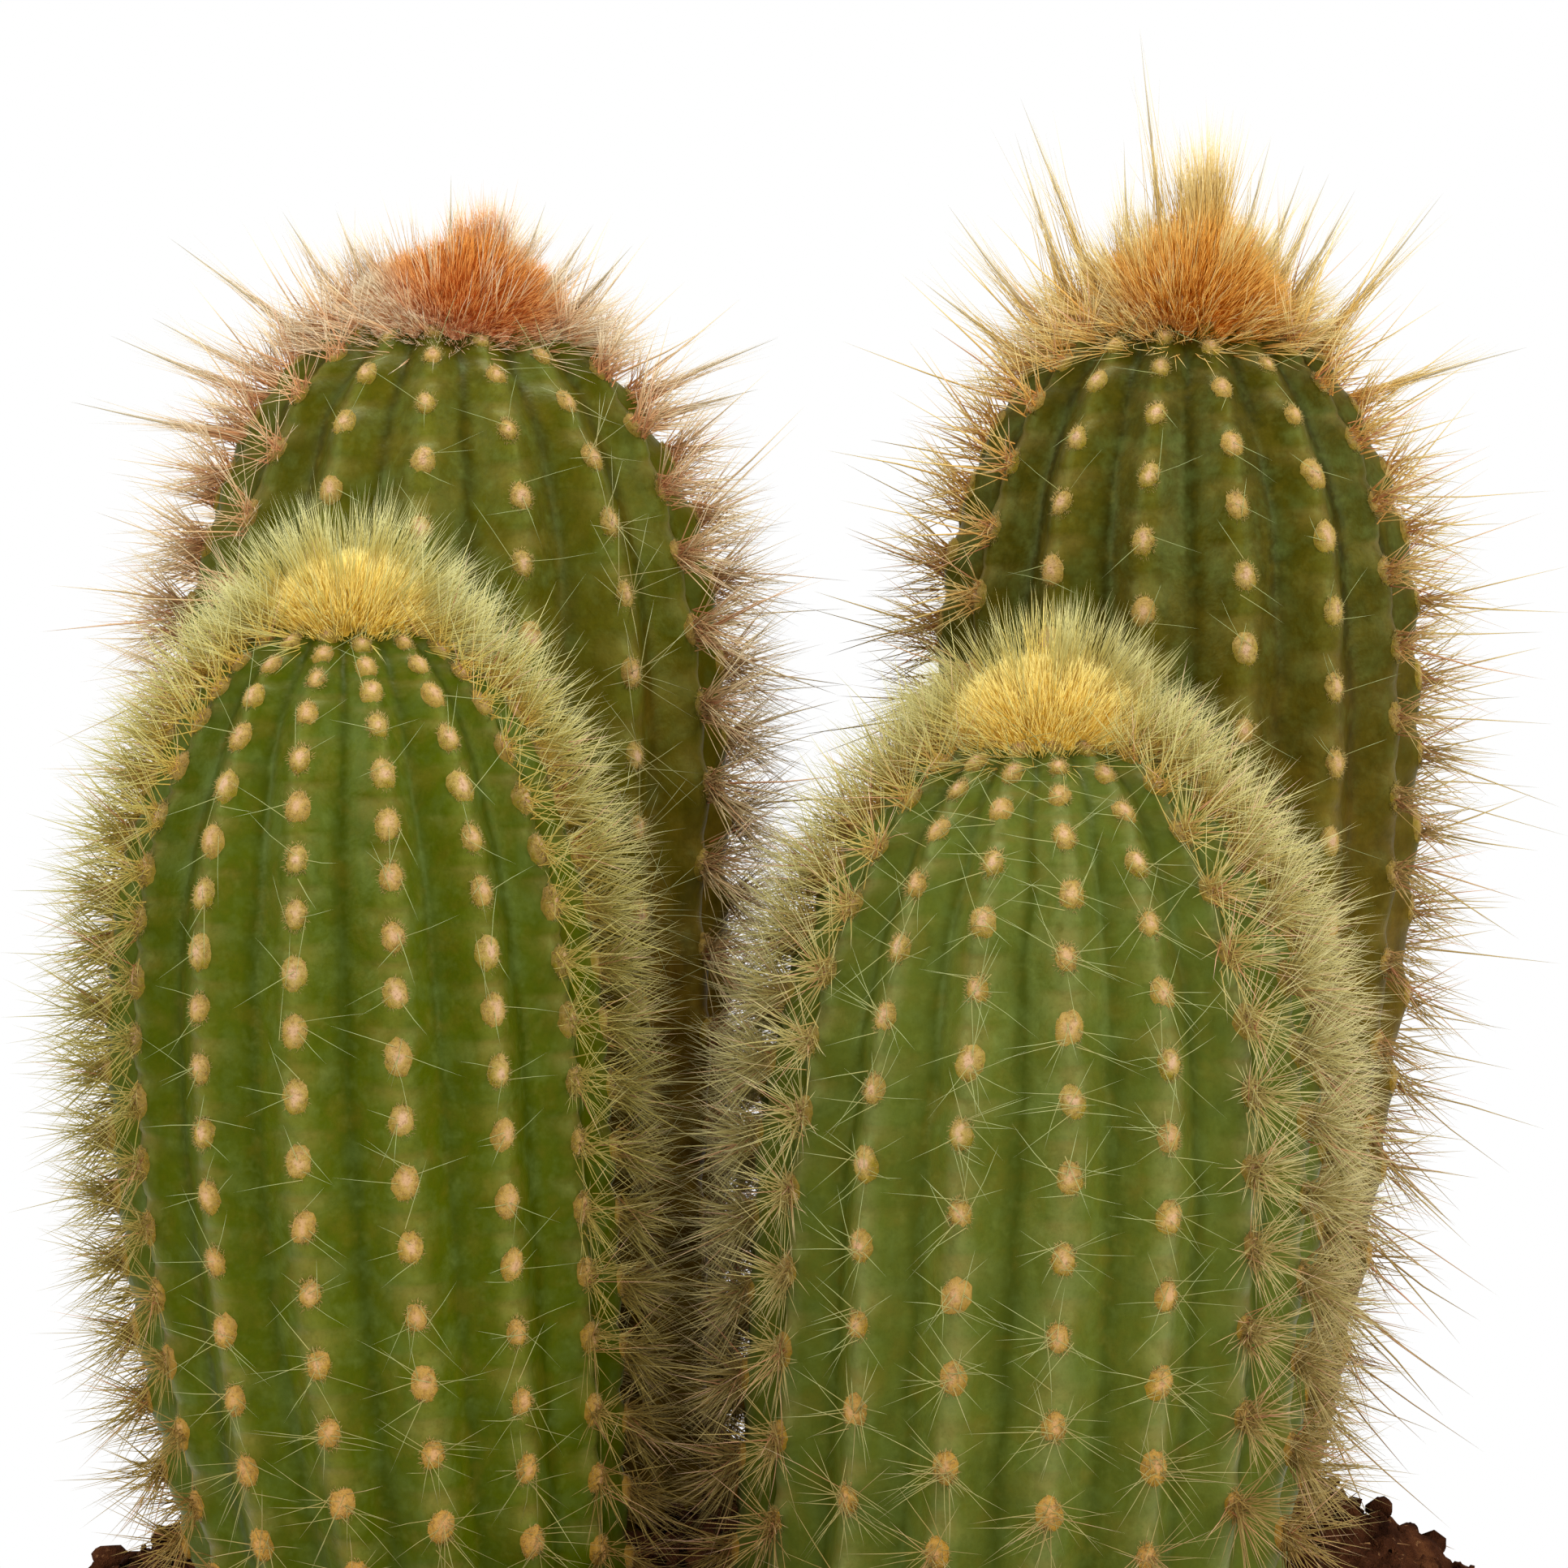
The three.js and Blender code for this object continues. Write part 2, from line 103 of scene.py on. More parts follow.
BACK = dict(
    slot="skin_back", crown_slot="crown_orange", stoutness=0.11,
    bare=(0.5, 0.93, 0.93, 0.98), bare_turn=0, bare_from=0.48,
)
LOOKS = {
    "front_left": dict(
        FRONT, seed=3, spines=(34, 76, 72, 40), reach=(7.8, 6.8, 7.2, 6.4), cone=(72, 58, 50, 46),
        rise=(-0.35, -0.16, -0.02, 0.12), bare=(0.6, 0.94, 0.96, 0.98), bare_turn=1, bare_from=0.38,
        long_reach=8.6, stoutness=0.075,
        wool=6.6, wool_height=1.8, peak=0.0, flame=0.8, wool_color=(206, 168, 64),
        heart=6000, heart_width=0.95, heart_reach=3.2, plume=0, plume_reach=8.0,
        tips=1400, tips_reach=8.8, collar=1100, collar_reach=8.4,
        skin=((46, 54, 0), (61, 69, 0), (84, 87, 24)),
        straw=((166, 142, 66), (150, 138, 66), (172, 162, 108)), rust=0.06,
        gold=((248, 206, 68), (238, 208, 98), (218, 200, 124)),
        pale=((210, 168, 66), (180, 166, 88), (180, 180, 132)),
    ),
    "front_right": dict(
        FRONT, seed=5, spines=(64, 116, 104, 48), reach=(7.8, 7.0, 7.6, 6.8), cone=(74, 66, 62, 50),
        rise=(-0.4, -0.18, 0.0, 0.12), bare=(0.5, 0.89, 0.9, 0.95), bare_turn=-8, bare_from=0.52,
        long_reach=9.2, stoutness=0.078,
        wool=8.0, wool_height=2.6, peak=0.2, flame=0.0, wool_color=(206, 166, 62),
        heart=7000, heart_width=0.9, heart_reach=3.4, plume=60, plume_reach=9.0,
        tips=1060, tips_reach=8.6, collar=1260, collar_reach=8.8,
        skin=((53, 60, 9), (74, 81, 22), (95, 99, 49)),
        straw=((174, 150, 84), (162, 150, 90), (188, 178, 130)), rust=0.1,
        gold=((246, 208, 88), (236, 208, 108), (216, 200, 126)),
        pale=((194, 150, 62), (170, 156, 84), (172, 168, 116)),
    ),
    "back_left": dict(
        BACK, seed=8, spines=(90, 90, 76, 40), reach=(9.0, 9.0, 8.4, 6.6), cone=(82, 72, 54, 50),
        rise=(-0.3, -0.2, 0.0, 0.12), long_reach=12.0,
        wool=10.4, wool_height=1.8, peak=1.2, flame=2.5, wool_color=(186, 84, 22),
        heart=9600, heart_width=0.58, heart_reach=4.0, heart_droop=0.6, heart_fan=84, fade=0.3,
        plume=240, plume_reach=7.4, plume_width=0.2, plume_pale=0.1, tips=900, tips_reach=7.6,
        collar=1500, collar_reach=7.8, cork=1.0,
        skin=((46, 43, 0), (66, 64, 0), (84, 84, 20)),
        straw=((170, 136, 84), (182, 158, 112), (204, 190, 156)), rust=0.2,
        gold=((198, 92, 8), (198, 106, 16), (206, 142, 54)),
        pale=((206, 138, 84), (206, 176, 134), (208, 198, 172)),
    ),
    "back_right": dict(
        BACK, seed=13, spines=(18, 30, 40, 36), reach=(6.8, 7.2, 7.2, 6.2), cone=(72, 54, 48, 50),
        rise=(-0.55, -0.3, 0.0, 0.12), long_reach=13.0,
        wool=9.4, wool_height=2.2, peak=2.4, flame=2.0, wool_color=(188, 98, 20),
        heart=9400, heart_width=0.68, heart_reach=5.0, heart_droop=0.66, heart_fan=78, fade=0.16,
        plume=420, plume_reach=12.5, plume_width=0.16, plume_pale=0.75, tips=1700, tips_reach=7.8,
        collar=1960, collar_reach=8.6, cork=0.75,
        skin=((36, 32, 0), (55, 49, 0), (77, 71, 13)),
        straw=((158, 126, 70), (164, 140, 82), (180, 164, 118)), rust=0.22,
        gold=((208, 118, 20), (206, 134, 34), (208, 162, 80)),
        pale=((206, 142, 56), (204, 172, 98), (202, 188, 140)),
    ),
}

BARE_BLEND = 0.28  # from bare_from on, an areole faces the front in full this much further

# long spines that stand out of the back crowns, as seen from the front: lean from upright in degrees,
# length, and the distance of the root from the stem's middle
SPIRES = {
    "back_left": (
        (-80, 14, 17), (-69, 14, 15), (-63, 12, 14), (-52, 15, 11), (-32, 11, 8), (-22, 9, 6),
        (3, 10, 0), (12, 9, 3), (21, 9, 5), (35, 9, 7), (43, 9, 9), (66, 13, 15), (75, 10, 16),
    ),
    "back_right": (
        (-53, 12, 12), (-41, 15, 10), (-21, 17, 8), (-22, 19, 6), (-4, 13, 4), (-6, 22, 1),
        (2, 14, 0), (15, 14, 4), (19, 13, 6), (24, 13, 7), (31, 13, 8), (40, 17, 11), (72, 15, 14),
    ),
}

OUTLINE_POINTS = 3000
ACROSS_RIB = 14  # skin points from groove to groove
SKIN_ROWS = 230
PLUG = 8.0  # how far the skin goes on into the soil
RELIEF = 0.095  # depth of the grooves, as a share of the radius
RIPPLE = 0.16  # height of the skin's smooth unevenness
RIPPLE_SIZE = 9.0
RIPPLE_WAVES = 7
SWELL = 0.4  # of the skin under an areole
NOTCH = 0.2  # above an areole
AREOLE_HALF_HEIGHT = 1.34
AREOLE_HALF_WIDTH = 0.97
AREOLE_RISE = 0.15
YOUNG_PAD = 0.35  # the share by which the youngest pads are smaller
YOUNG_PITCH = 2.6  # least distance between young areoles up a rib
YOUNG_SHRINK = 0.8  # from one pitch to the next, among young areoles
FUZZ_HAIRS = 200  # on each areole
FUZZ_RADIUS = 0.03
NEEDLE_SIDES = 3  # of a spine or hair
SPINE_RADIUS = 0.064
LONG_SPINES = 2  # on an areole that isn't bare
LONG_CONE = 34.0
WIDEST_CONE = 84.0
HAIR_RADIUS = 0.046
FLAME_DEPTH = 0.7  # the bright spot reaches further to the front and back than sideways
BUNDLE = 14  # long crown hairs that share a root
LOCK = 44  # fine hairs that cling to each long spine of SPIRES
SPIRE_RADIUS = 0.26

# ---------------- camera

VIEW_DISTANCE = 0.700
VIEW_TILT = math.radians(6.0)
VIEW_TARGET = Vector((0.0007, 0.0, 0.191))
VIEW_WIDTH = 0.12465  # of the picture, at the target's distance


def put(name, data):
    """A new object in the scene."""
    made = bpy.data.objects.new(name, data)
    bpy.context.scene.collection.objects.link(made)
    return made


def place_camera():
    data = bpy.data.cameras.new("camera")
    data.sensor_width = 36.0
    data.lens = data.sensor_width * VIEW_DISTANCE / VIEW_WIDTH
    data.clip_start = 0.05
    data.clip_end = 60.0
    camera = put("camera", data)
    back = Vector((0.0, -math.cos(VIEW_TILT), math.sin(VIEW_TILT)))
    camera.location = VIEW_TARGET + VIEW_DISTANCE * back
    camera.rotation_euler = (math.pi / 2 - VIEW_TILT, 0.0, 0.0)
    bpy.context.scene.camera = camera


# ---------------- meshes

def new_object(name, points, quads=(), triangles=(), **values):
    """An object from points in mm, with a float attribute on its points for each of values."""
    mesh = bpy.data.meshes.new(name)
    points = np.asarray(points, np.float32)
    quads = np.asarray(quads, np.int32).reshape(-1, 4)
    triangles = np.asarray(triangles, np.int32).reshape(-1, 3)
    corners = np.concatenate([quads.ravel(), triangles.ravel()])
    sizes = np.repeat([4, 3], [len(quads), len(triangles)])
    starts = (np.cumsum(sizes) - sizes).astype(np.int32)
    mesh.vertices.add(len(points))
    mesh.vertices.foreach_set("co", (points * MM).ravel())
    mesh.loops.add(len(corners))
    mesh.loops.foreach_set("vertex_index", corners)
    mesh.polygons.add(len(sizes))
    mesh.polygons.foreach_set("loop_start", starts)
    mesh.polygons.foreach_set("use_smooth", np.full(len(sizes), True))
    for key, value in values.items():
        layer = mesh.attributes.new(key, "FLOAT", "POINT")
        layer.data.foreach_set("value", np.asarray(value, np.float32).ravel())
    mesh.update(calc_edges=True)
    mesh.validate()
    return put(name, mesh)


def around(count):
    """Angles evenly round a circle."""
    return np.arange(count) * math.tau / count


def grid_quads(rows, columns):
    """Quads of a grid that closes on itself along its columns, outward for rows that go up."""
    row, column = np.meshgrid(np.arange(rows - 1), np.arange(columns), indexing="ij")
    beside = (column + 1) % columns
    low = row * columns
    high = low + columns
    return np.stack([low + column, low + beside, high + beside, high + column], -1).reshape(-1, 4)


def repeats(faces, count, block):
    """Faces of one form, repeated for count copies of block points each."""
    return faces[None] + (np.arange(count) * block)[:, None, None]


def capped(name, points, rings, sides, **values):
    """An object of like tubes. The points of each are its rings and, last, the one that closes it."""
    block = rings * sides + 1
    count = len(points) // block
    last = np.arange(sides) + (rings - 1) * sides
    cap = np.stack([last, np.roll(last, -1), np.full(sides, block - 1)], -1)
    quads = grid_quads(rings, sides)
    return new_object(name, points, repeats(quads, count, block), repeats(cap, count, block), **values)


def wear(made, material, node):
    """Gives a finished piece its material and its body, and hides the solid that it stands for."""
    made.data.materials.append(material)
    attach(made, "root")
    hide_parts(node)


def unit(vectors):
    return vectors / np.maximum(np.linalg.norm(vectors, axis=-1, keepdims=True), 1e-9)


def frame_across(ways):
    """Two directions square to each of some ways."""
    helper = np.where(np.abs(ways[:, 2:3]) < 0.9, [[0.0, 0.0, 1.0]], [[1.0, 0.0, 0.0]])
    across = unit(np.cross(ways, helper))
    return across, np.cross(ways, across)


def needles(name, roots, ways, lengths, radii, sag, rings, taper=0.6, **tints):
    """Tapered, slightly bent needles in one mesh. sag is how far a tip lies off its straight way."""
    taper = np.broadcast_to(taper, len(roots))[:, None]
    count = len(roots)
    ways = unit(ways)
    across, over = frame_across(ways)
    along = np.linspace(0, 1, rings + 1)[:-1]
    turns = around(NEEDLE_SIDES)
    spokes = across[:, None] * np.cos(turns)[:, None] + over[:, None] * np.sin(turns)[:, None]
    straight = ways[:, None] * (lengths[:, None] * along)[..., None]
    centres = roots[:, None] + straight + sag[:, None] * (along ** 2)[:, None]
    thick = radii[:, None] * (1 - along) ** taper
    shell = centres[:, :, None] + spokes[:, None] * thick[..., None, None]
    tips = roots + ways * lengths[:, None] + sag
    block = rings * NEEDLE_SIDES + 1
    points = np.concatenate([shell.reshape(count, -1, 3), tips[:, None]], 1).reshape(-1, 3)
    position = np.tile(np.append(np.repeat(along, NEEDLE_SIDES), 1.0), count)
    spread = {key: np.repeat(value, block) for key, value in tints.items()}
    return capped(name, points, rings, NEEDLE_SIDES, along=position, **spread)


# ---------------- a stem's form

class Stem:
    """The skin of one stem: where a point lies, by its distance up the outline and its angle."""

    def __init__(self, name):
        self.name = name
        for key, value in {**STEMS[name], **LOOKS[name]}.items():
            setattr(self, key, value)
        span = self.top - self.shoulder
        apex = self.shoulder + span * (1 - (APEX_RADIUS / self.girth) ** 2) ** (1 / self.dome)
        rise = np.sin(np.linspace(0, math.pi / 2, OUTLINE_POINTS))
        self.z_line = RIBS_BEGIN + (self.top - RIBS_BEGIN) * rise
        self.r_line = self.radius_at(self.z_line)
        steps = np.hypot(np.diff(self.z_line), np.diff(self.r_line))
        self.s_line = np.concatenate([[0], np.cumsum(steps)])
        self.length = self.s_line[-1]
        self.apex_at = float(np.interp(apex, self.z_line, self.s_line))
        self.first_angle = math.radians(self.face) - math.pi / 2
        self.wool_at = self.length - self.wool
        self.areoles = [self.areole_row(k) for k in range(self.ribs)]

    def radius_at(self, z):
        share = np.clip((z - SOIL_LEVEL) / (self.shoulder - SOIL_LEVEL), 0, 1)
        below = self.girth - (self.girth - self.foot_girth) * (1 - share) ** 2
        rise = np.clip((z - self.shoulder) / (self.top - self.shoulder), 0, 1)
        return np.where(z > self.shoulder, self.girth * np.sqrt(1 - rise ** self.dome), below)

    def middle_at(self, z):
        height = np.clip((z - SOIL_LEVEL) / (self.top - SOIL_LEVEL), 0, 1)
        share = 1 - (1 - height) ** BEND
        return np.stack([self.foot[0] + self.lean[0] * share, self.foot[1] + self.lean[1] * share], -1)

    def outline(self, s):
        """Radius and height at a distance up the outline. Below 0 the skin goes on into the soil."""
        radius = np.interp(s, self.s_line, self.r_line)
        height = np.where(s < 0, RIBS_BEGIN + s, np.interp(s, self.s_line, self.z_line))
        return radius, height

    def areole_row(self, rib):
        """Distances up a rib of its areoles. The last few, round the wool, are young and crowded."""
        offset = ((rib * self.shift) % self.ribs) / self.ribs
        v = (np.arange(self.rows) + ROW_START + offset) / (self.rows + 2 * ROW_START)
        row = list((v + ROW_CROWDING * v * (1 - v)) * self.apex_at)
        pitch = row[-1] - row[-2]
        while row[-1] < self.wool_at:
            pitch = max(pitch * YOUNG_SHRINK, YOUNG_PITCH)
            row.append(row[-1] + pitch)
        return np.array(row)

    def directions(self, s, angle):
        """Outward normal, upward tangent and sideways tangent of the smooth skin."""
        r0, z0 = self.outline(s - 0.25)
        r1, z1 = self.outline(s + 0.25)
        dr, dz = r1 - r0, z1 - z0
        size = np.hypot(dr, dz)
        dr, dz = dr / size, dz / size
        c, d = np.cos(angle), np.sin(angle)
        normal = np.stack([c * dz, d * dz, -dr], -1)
        upward = np.stack([c * dr, d * dr, dz], -1)
        sideways = np.stack([-d, c, 0 * c], -1)
        return normal, upward, sideways

    def point(self, s, angle, sink):
        """A point on the uneven skin, sunk by sink mm under the ribs' crests."""
        radius, height = self.outline(s)
        middle = self.middle_at(height)
        out = np.maximum(radius - sink, 0)
        x = middle[..., 0] + out * np.cos(angle)
        y = middle[..., 1] + out * np.sin(angle)
        smooth = np.stack([x, y, np.broadcast_to(height, x.shape)], -1)
        return smooth + ripple(smooth, self.seed, RIPPLE, RIPPLE_SIZE)

    def areole_places(self):
        """Distance up the outline and angle of every areole."""
        rib = np.concatenate([np.full(len(row), k) for k, row in enumerate(self.areoles)])
        return np.concatenate(self.areoles), self.first_angle + rib * math.tau / self.ribs

    def aged(self, values, share):
        """A value that changes with height, at shares of the way up to the wool."""
        return np.interp(share, AGES, values)


def rib_shape(x):
    """Depth across a rib, 0 on its crest and 1 in the groove."""
    return 0.92 * (1 - np.cos(math.pi * x)) / 2 + 0.08 * x ** 2


def skin_relief(stem, s, across, rib, radius):
    """For a grid of skin points: the swelling under each areole with the notch above it, in mm, and how
    far a point lies in the weathered patch above an areole."""
    swell, patch = np.zeros((2, len(s), len(across)))
    for k, row in enumerate(stem.areoles):
        near = np.where(rib % stem.ribs == k)[0]
        nearest = row[np.argmin(np.abs(s[:, None] - row[None]), 1)]
        offset = (s - nearest)[:, None]
        side = (across[near] * math.pi / stem.ribs)[None] * radius[:, None]
        swell[:, near] += SWELL * np.exp(-((offset + 0.3) / 1.8) ** 2 - (side / 1.6) ** 2)
        swell[:, near] -= NOTCH * np.exp(-((offset - 2.3) / 0.9) ** 2 - (side / 2.2) ** 2)
        patch[:, near] = np.exp(-((offset - 2.1) / 1.5) ** 2 - (side / 2.0) ** 2)
    return swell, patch


def skin_piece(stem):
    """The ribbed skin, from the plug in the soil to the growing point."""
    columns = stem.ribs * ACROSS_RIB
    s = np.linspace(-PLUG, stem.length - 0.02, SKIN_ROWS)
    turn = np.arange(columns) / ACROSS_RIB
    rib = np.round(turn).astype(int)
    across = np.abs(turn - rib) * 2
    angle = stem.first_angle + turn * math.tau / stem.ribs
    radius, height = stem.outline(s)
    depth = RELIEF * radius[:, None] * rib_shape(across)[None]
    fade = np.clip(radius / 6.0, 0, 1)[:, None]
    swell, patch = skin_relief(stem, s, across, rib, radius)
    points = stem.point(s[:, None], angle[None], depth - swell * fade)
    share = (height - SOIL_LEVEL) / (stem.top - SOIL_LEVEL)
    made = new_object(
        "skin_" + stem.name, points.reshape(-1, 3), grid_quads(SKIN_ROWS, columns),
        crest=np.broadcast_to(1 - across, (SKIN_ROWS, columns)),
        rise=np.broadcast_to(share[:, None], (SKIN_ROWS, columns)), patch=patch,
    )
    wear(made, skin_material(stem), "stem_" + stem.name)


def ripple(points, seed, height, size):
    """Small smooth unevenness, as offsets for points."""
    flat = points.reshape(-1, 3)
    waves = np.zeros_like(flat)
    random = np.random.default_rng(seed)
    for _ in range(RIPPLE_WAVES):
        way = unit(random.normal(size=3)) * math.tau / (size * random.uniform(0.5, 1.6))
        push = random.normal(size=3) * height / 2.6
        waves += np.sin(flat @ way + random.uniform(0, 6.28))[:, None] * push
    return waves.reshape(points.shape)


# ---------------- areoles, spines and crowns

PAD_RINGS = ((1.0, -0.4), (0.97, 0.0), (0.8, 0.2), (0.5, 0.34), (0.2, 0.4))
PAD_TOP = 0.42
PAD_SIDES = 16


def pad_size(stem, s):
    """Size of the pads at s: the youngest are smaller."""
    return 1 - YOUNG_PAD * np.clip((s / stem.length - 0.75) / 0.25, 0, 1)


def pad_rim(out, turn):
    """How near its rim a spot of a pad counts as lying, more so at the pad's lower side."""
    return out * (0.85 - 0.2 * np.sin(turn))


def areole_piece(stem):
    """Felted pads: low oval domes with an uneven rim."""
    s, angle = stem.areole_places()
    count = len(s)
    random = np.random.default_rng(stem.seed + 50)
    normal, upward, sideways = stem.directions(s, angle)
    centre = stem.point(s, angle, -AREOLE_RISE)
    size = pad_size(stem, s) * random.uniform(0.86, 1.1, count)
    twist = random.normal(scale=0.14, size=(count, 1))
    sideways, upward = sideways + twist * upward, upward - twist * sideways
    turn = around(PAD_SIDES)
    shell = []
    for reach, lift in PAD_RINGS:
        uneven = 1 + random.normal(scale=0.05, size=(count, PAD_SIDES, 1))
        x = np.cos(turn)[None, :, None] * AREOLE_HALF_WIDTH * reach * uneven
        y = np.sin(turn)[None, :, None] * AREOLE_HALF_HEIGHT * reach * uneven
        spot = centre[:, None] + size[:, None, None] * (sideways[:, None] * x + upward[:, None] * y)
        shell.append(spot + normal[:, None] * lift)
    points = np.concatenate(shell + [(centre + normal * PAD_TOP)[:, None]], 1)
    block = points.shape[1]
    rim = np.append(np.concatenate([pad_rim(reach, turn) for reach, _ in PAD_RINGS]), 0.0)
    made = capped(
        "areoles_" + stem.name, points.reshape(-1, 3), len(PAD_RINGS), PAD_SIDES, rim=np.tile(rim, count),
        tint=np.repeat(random.uniform(0, 1, count), block), rise=np.repeat(s / stem.length, block),
    )
    wear(made, felt_material(stem), "stem_" + stem.name)


def fuzz_piece(stem):
    """Short felt hairs on the pads and round their rims, which soften their edges."""
    s, angle = stem.areole_places()
    pads = len(s)
    each = np.repeat(np.arange(pads), FUZZ_HAIRS)
    count = len(each)
    random = np.random.default_rng(stem.seed + 90)
    s, angle = s[each], angle[each]
    normal, upward, sideways = stem.directions(s, angle)
    turn = random.uniform(0, math.tau, count)
    out = np.sqrt(random.uniform(0.2, 1.06, count))
    size = pad_size(stem, s)
    x = sideways * (np.cos(turn) * out)[:, None]
    y = upward * (np.sin(turn) * out)[:, None]
    low = stem.point(s, angle, -AREOLE_RISE) + normal * (0.35 * (1 - out ** 2))[:, None]
    roots = low + (x * AREOLE_HALF_WIDTH + y * AREOLE_HALF_HEIGHT) * size[:, None]
    ways = normal * (1.15 - 0.7 * out)[:, None] + (x + y) * 0.9
    ways = ways + random.normal(scale=0.3, size=ways.shape)
    lengths = random.uniform(0.15, 0.38, count) * size
    made = needles(
        "felt_" + stem.name, roots, ways, lengths, np.full(count, FUZZ_RADIUS),
        random.normal(scale=0.06, size=ways.shape), rings=1, rim=pad_rim(out, turn),
        tint=random.uniform(0, 1, pads)[each], rise=s / stem.length,
    )
    wear(made, felt_material(stem), "stem_" + stem.name)


def sprays(stem, random, s, angle, bare, number, cone, reach, radius):
    """Spines that fan out of areoles: roots, ways, lengths, radii, and their areole's share of height and
    bareness. Bare areoles have few, thin and flat-lying ones."""
    each = np.repeat(np.arange(len(s)), np.round(number * (1 - bare)).astype(int))
    cone, reach = (np.broadcast_to(part, len(s))[each] for part in (cone, reach))
    s, angle, bare = s[each], angle[each], bare[each]
    share = np.clip(s / stem.wool_at, 0, 1)
    count = len(each)
    normal, upward, sideways = stem.directions(s, angle)
    cone = np.minimum(cone * (1 + 0.5 * bare), WIDEST_CONE)
    lift = np.radians(cone) * np.sqrt(random.uniform(0.03, 1, count) ** (1 - 0.6 * bare))
    swing = random.uniform(0, math.tau, count)
    ways = normal * np.cos(lift)[:, None]
    ways += sideways * (np.sin(lift) * np.cos(swing) * 1.1)[:, None]
    ways += upward * (np.sin(lift) * np.sin(swing) * 0.85 + stem.aged(stem.rise, share))[:, None]
    jog = random.normal(scale=0.4, size=(count, 2))
    roots = stem.point(s, angle, -AREOLE_RISE - 0.2)
    roots += sideways * jog[:, :1] + upward * jog[:, 1:] * 1.6
    lengths = reach * random.uniform(0.55, 1.1, count) * (1 - 0.2 * bare)
    radii = radius * random.uniform(0.75, 1.2, count) * (1 - 0.4 * bare)
    return roots, unit(ways), lengths, radii, share, bare


def bareness(stem, angle, share):
    """The share of its spines that an areole lacks, because it faces the front."""
    facing = -np.sin(angle - math.radians(stem.bare_turn))
    return np.clip((facing - stem.bare_from) / BARE_BLEND, 0, 1) * stem.aged(stem.bare, share)


def spine_piece(stem):
    """Fine spines fan out of each areole, and a few longer and stouter ones stand out of its middle."""
    s, angle = stem.areole_places()
    kept = s < stem.wool_at + 1.5
    s, angle = s[kept], angle[kept]
    share = np.clip(s / stem.wool_at, 0, 1)
    random = np.random.default_rng(stem.seed)
    bare = bareness(stem, angle, share)
    fine = sprays(
        stem, random, s, angle, bare, stem.aged(stem.spines, share), stem.aged(stem.cone, share),
        stem.aged(stem.reach, share), SPINE_RADIUS,
    )
    stout = sprays(
        stem, random, s, angle, bare, LONG_SPINES, LONG_CONE, stem.long_reach, stem.stoutness,
    )
    every = [np.concatenate(pair) for pair in zip(fine, stout)]
    clear = clear_of_others(stem, *every[:3])
    roots, ways, lengths, radii, share, bare = (part[clear] for part in every)
    sag = random.normal(scale=0.045, size=ways.shape) * lengths[:, None]
    made = needles(
        "spines_" + stem.name, roots, ways, lengths, radii, sag, rings=2,
        tint=random.uniform(0, 1, len(roots)), youth=share, bare=bare,
    )
    wear(made, spine_material(stem), "stem_" + stem.name)


def clear_of_others(stem, roots, ways, lengths):
    """False for a spine that would reach into another stem or end under the soil."""
    reach = ways * lengths[:, None]
    clear = (roots + reach)[:, 2] > SOIL_LEVEL - 1
    for other in (each for each in ALL_STEMS if each is not stem):
        for spot in (roots + reach, roots + reach * 0.6):
            middle = other.middle_at(spot[:, 2])
            away = np.hypot(spot[:, 0] - middle[:, 0], spot[:, 1] - middle[:, 1])
            clear &= (away > other.radius_at(spot[:, 2]) + 0.2) | (spot[:, 2] > other.top)
    return clear


def flame_distance(stem, spot, angle):
    """Distance from the flame, in wool radii. spot is the distance from the crown's middle."""
    return np.hypot(spot * np.cos(angle) - stem.flame / stem.wool, FLAME_DEPTH * spot * np.sin(angle))


def wool_lift(stem, spot, angle):
    """How far the wool stands above the skin."""
    bulge = stem.wool_height * np.sqrt(np.clip(1 - spot ** 2, 0, 1))
    return bulge + stem.peak * np.exp(-(flame_distance(stem, spot, angle) / 0.35) ** 2)


def hair_radii(random, count):
    return HAIR_RADIUS * random.uniform(0.7, 1.1, count)


def crown_hairs(stem, random, count, band, fan, reach, droop, bundle=1):
    """Hairs of the crown: roots, ways, lengths, radii and distances from the flame. They grow in a band
    of wool radii. The outermost lean out by fan degrees. Far from the flame they are shorter by droop."""
    inner, outer = band
    roots_count = count // bundle
    spot = np.sqrt(random.uniform(inner ** 2, outer ** 2, roots_count))
    angle = random.uniform(0, math.tau, roots_count)
    lean = random.normal(scale=7, size=roots_count)
    tall = random.uniform(0.75, 1.0, roots_count)
    spot, angle, lean, tall = (np.repeat(part, bundle) for part in (spot, angle, lean, tall))
    s = stem.length - 0.05 - spot * stem.wool
    roots = stem.point(s, angle, RELIEF * spot ** 2 * stem.outline(s)[0])
    roots[:, 2] += wool_lift(stem, spot, angle) - 0.2
    roots += random.normal(scale=0.22, size=roots.shape) * [1.0, 1.0, 0.0]
    tilt = np.radians(fan * (spot / outer) ** 1.1 + lean)
    ways = np.stack([np.sin(tilt) * np.cos(angle), np.sin(tilt) * np.sin(angle), np.cos(tilt)], -1)
    ways += random.normal(scale=0.11, size=ways.shape)
    away = flame_distance(stem, spot, angle)
    lengths = reach * tall * random.uniform(0.7, 1.0, len(spot)) * (1.0 - droop * np.minimum(away, 1) ** 2)
    return roots, ways, lengths, hair_radii(random, len(spot)), away


def plume_hairs(stem, random):
    """The narrow plume, which stands at the flame."""
    hairs = crown_hairs(stem, random, stem.plume, (0.0, stem.plume_width), 5, stem.plume_reach, 0.3)
    roots, *others, _ = hairs
    middle = stem.middle_at(np.float64(stem.top))
    out = np.hypot(roots[:, 0] - middle[0], roots[:, 1] - middle[1]) / stem.wool
    return roots + [stem.flame, 0.0, 0.0], *others, out


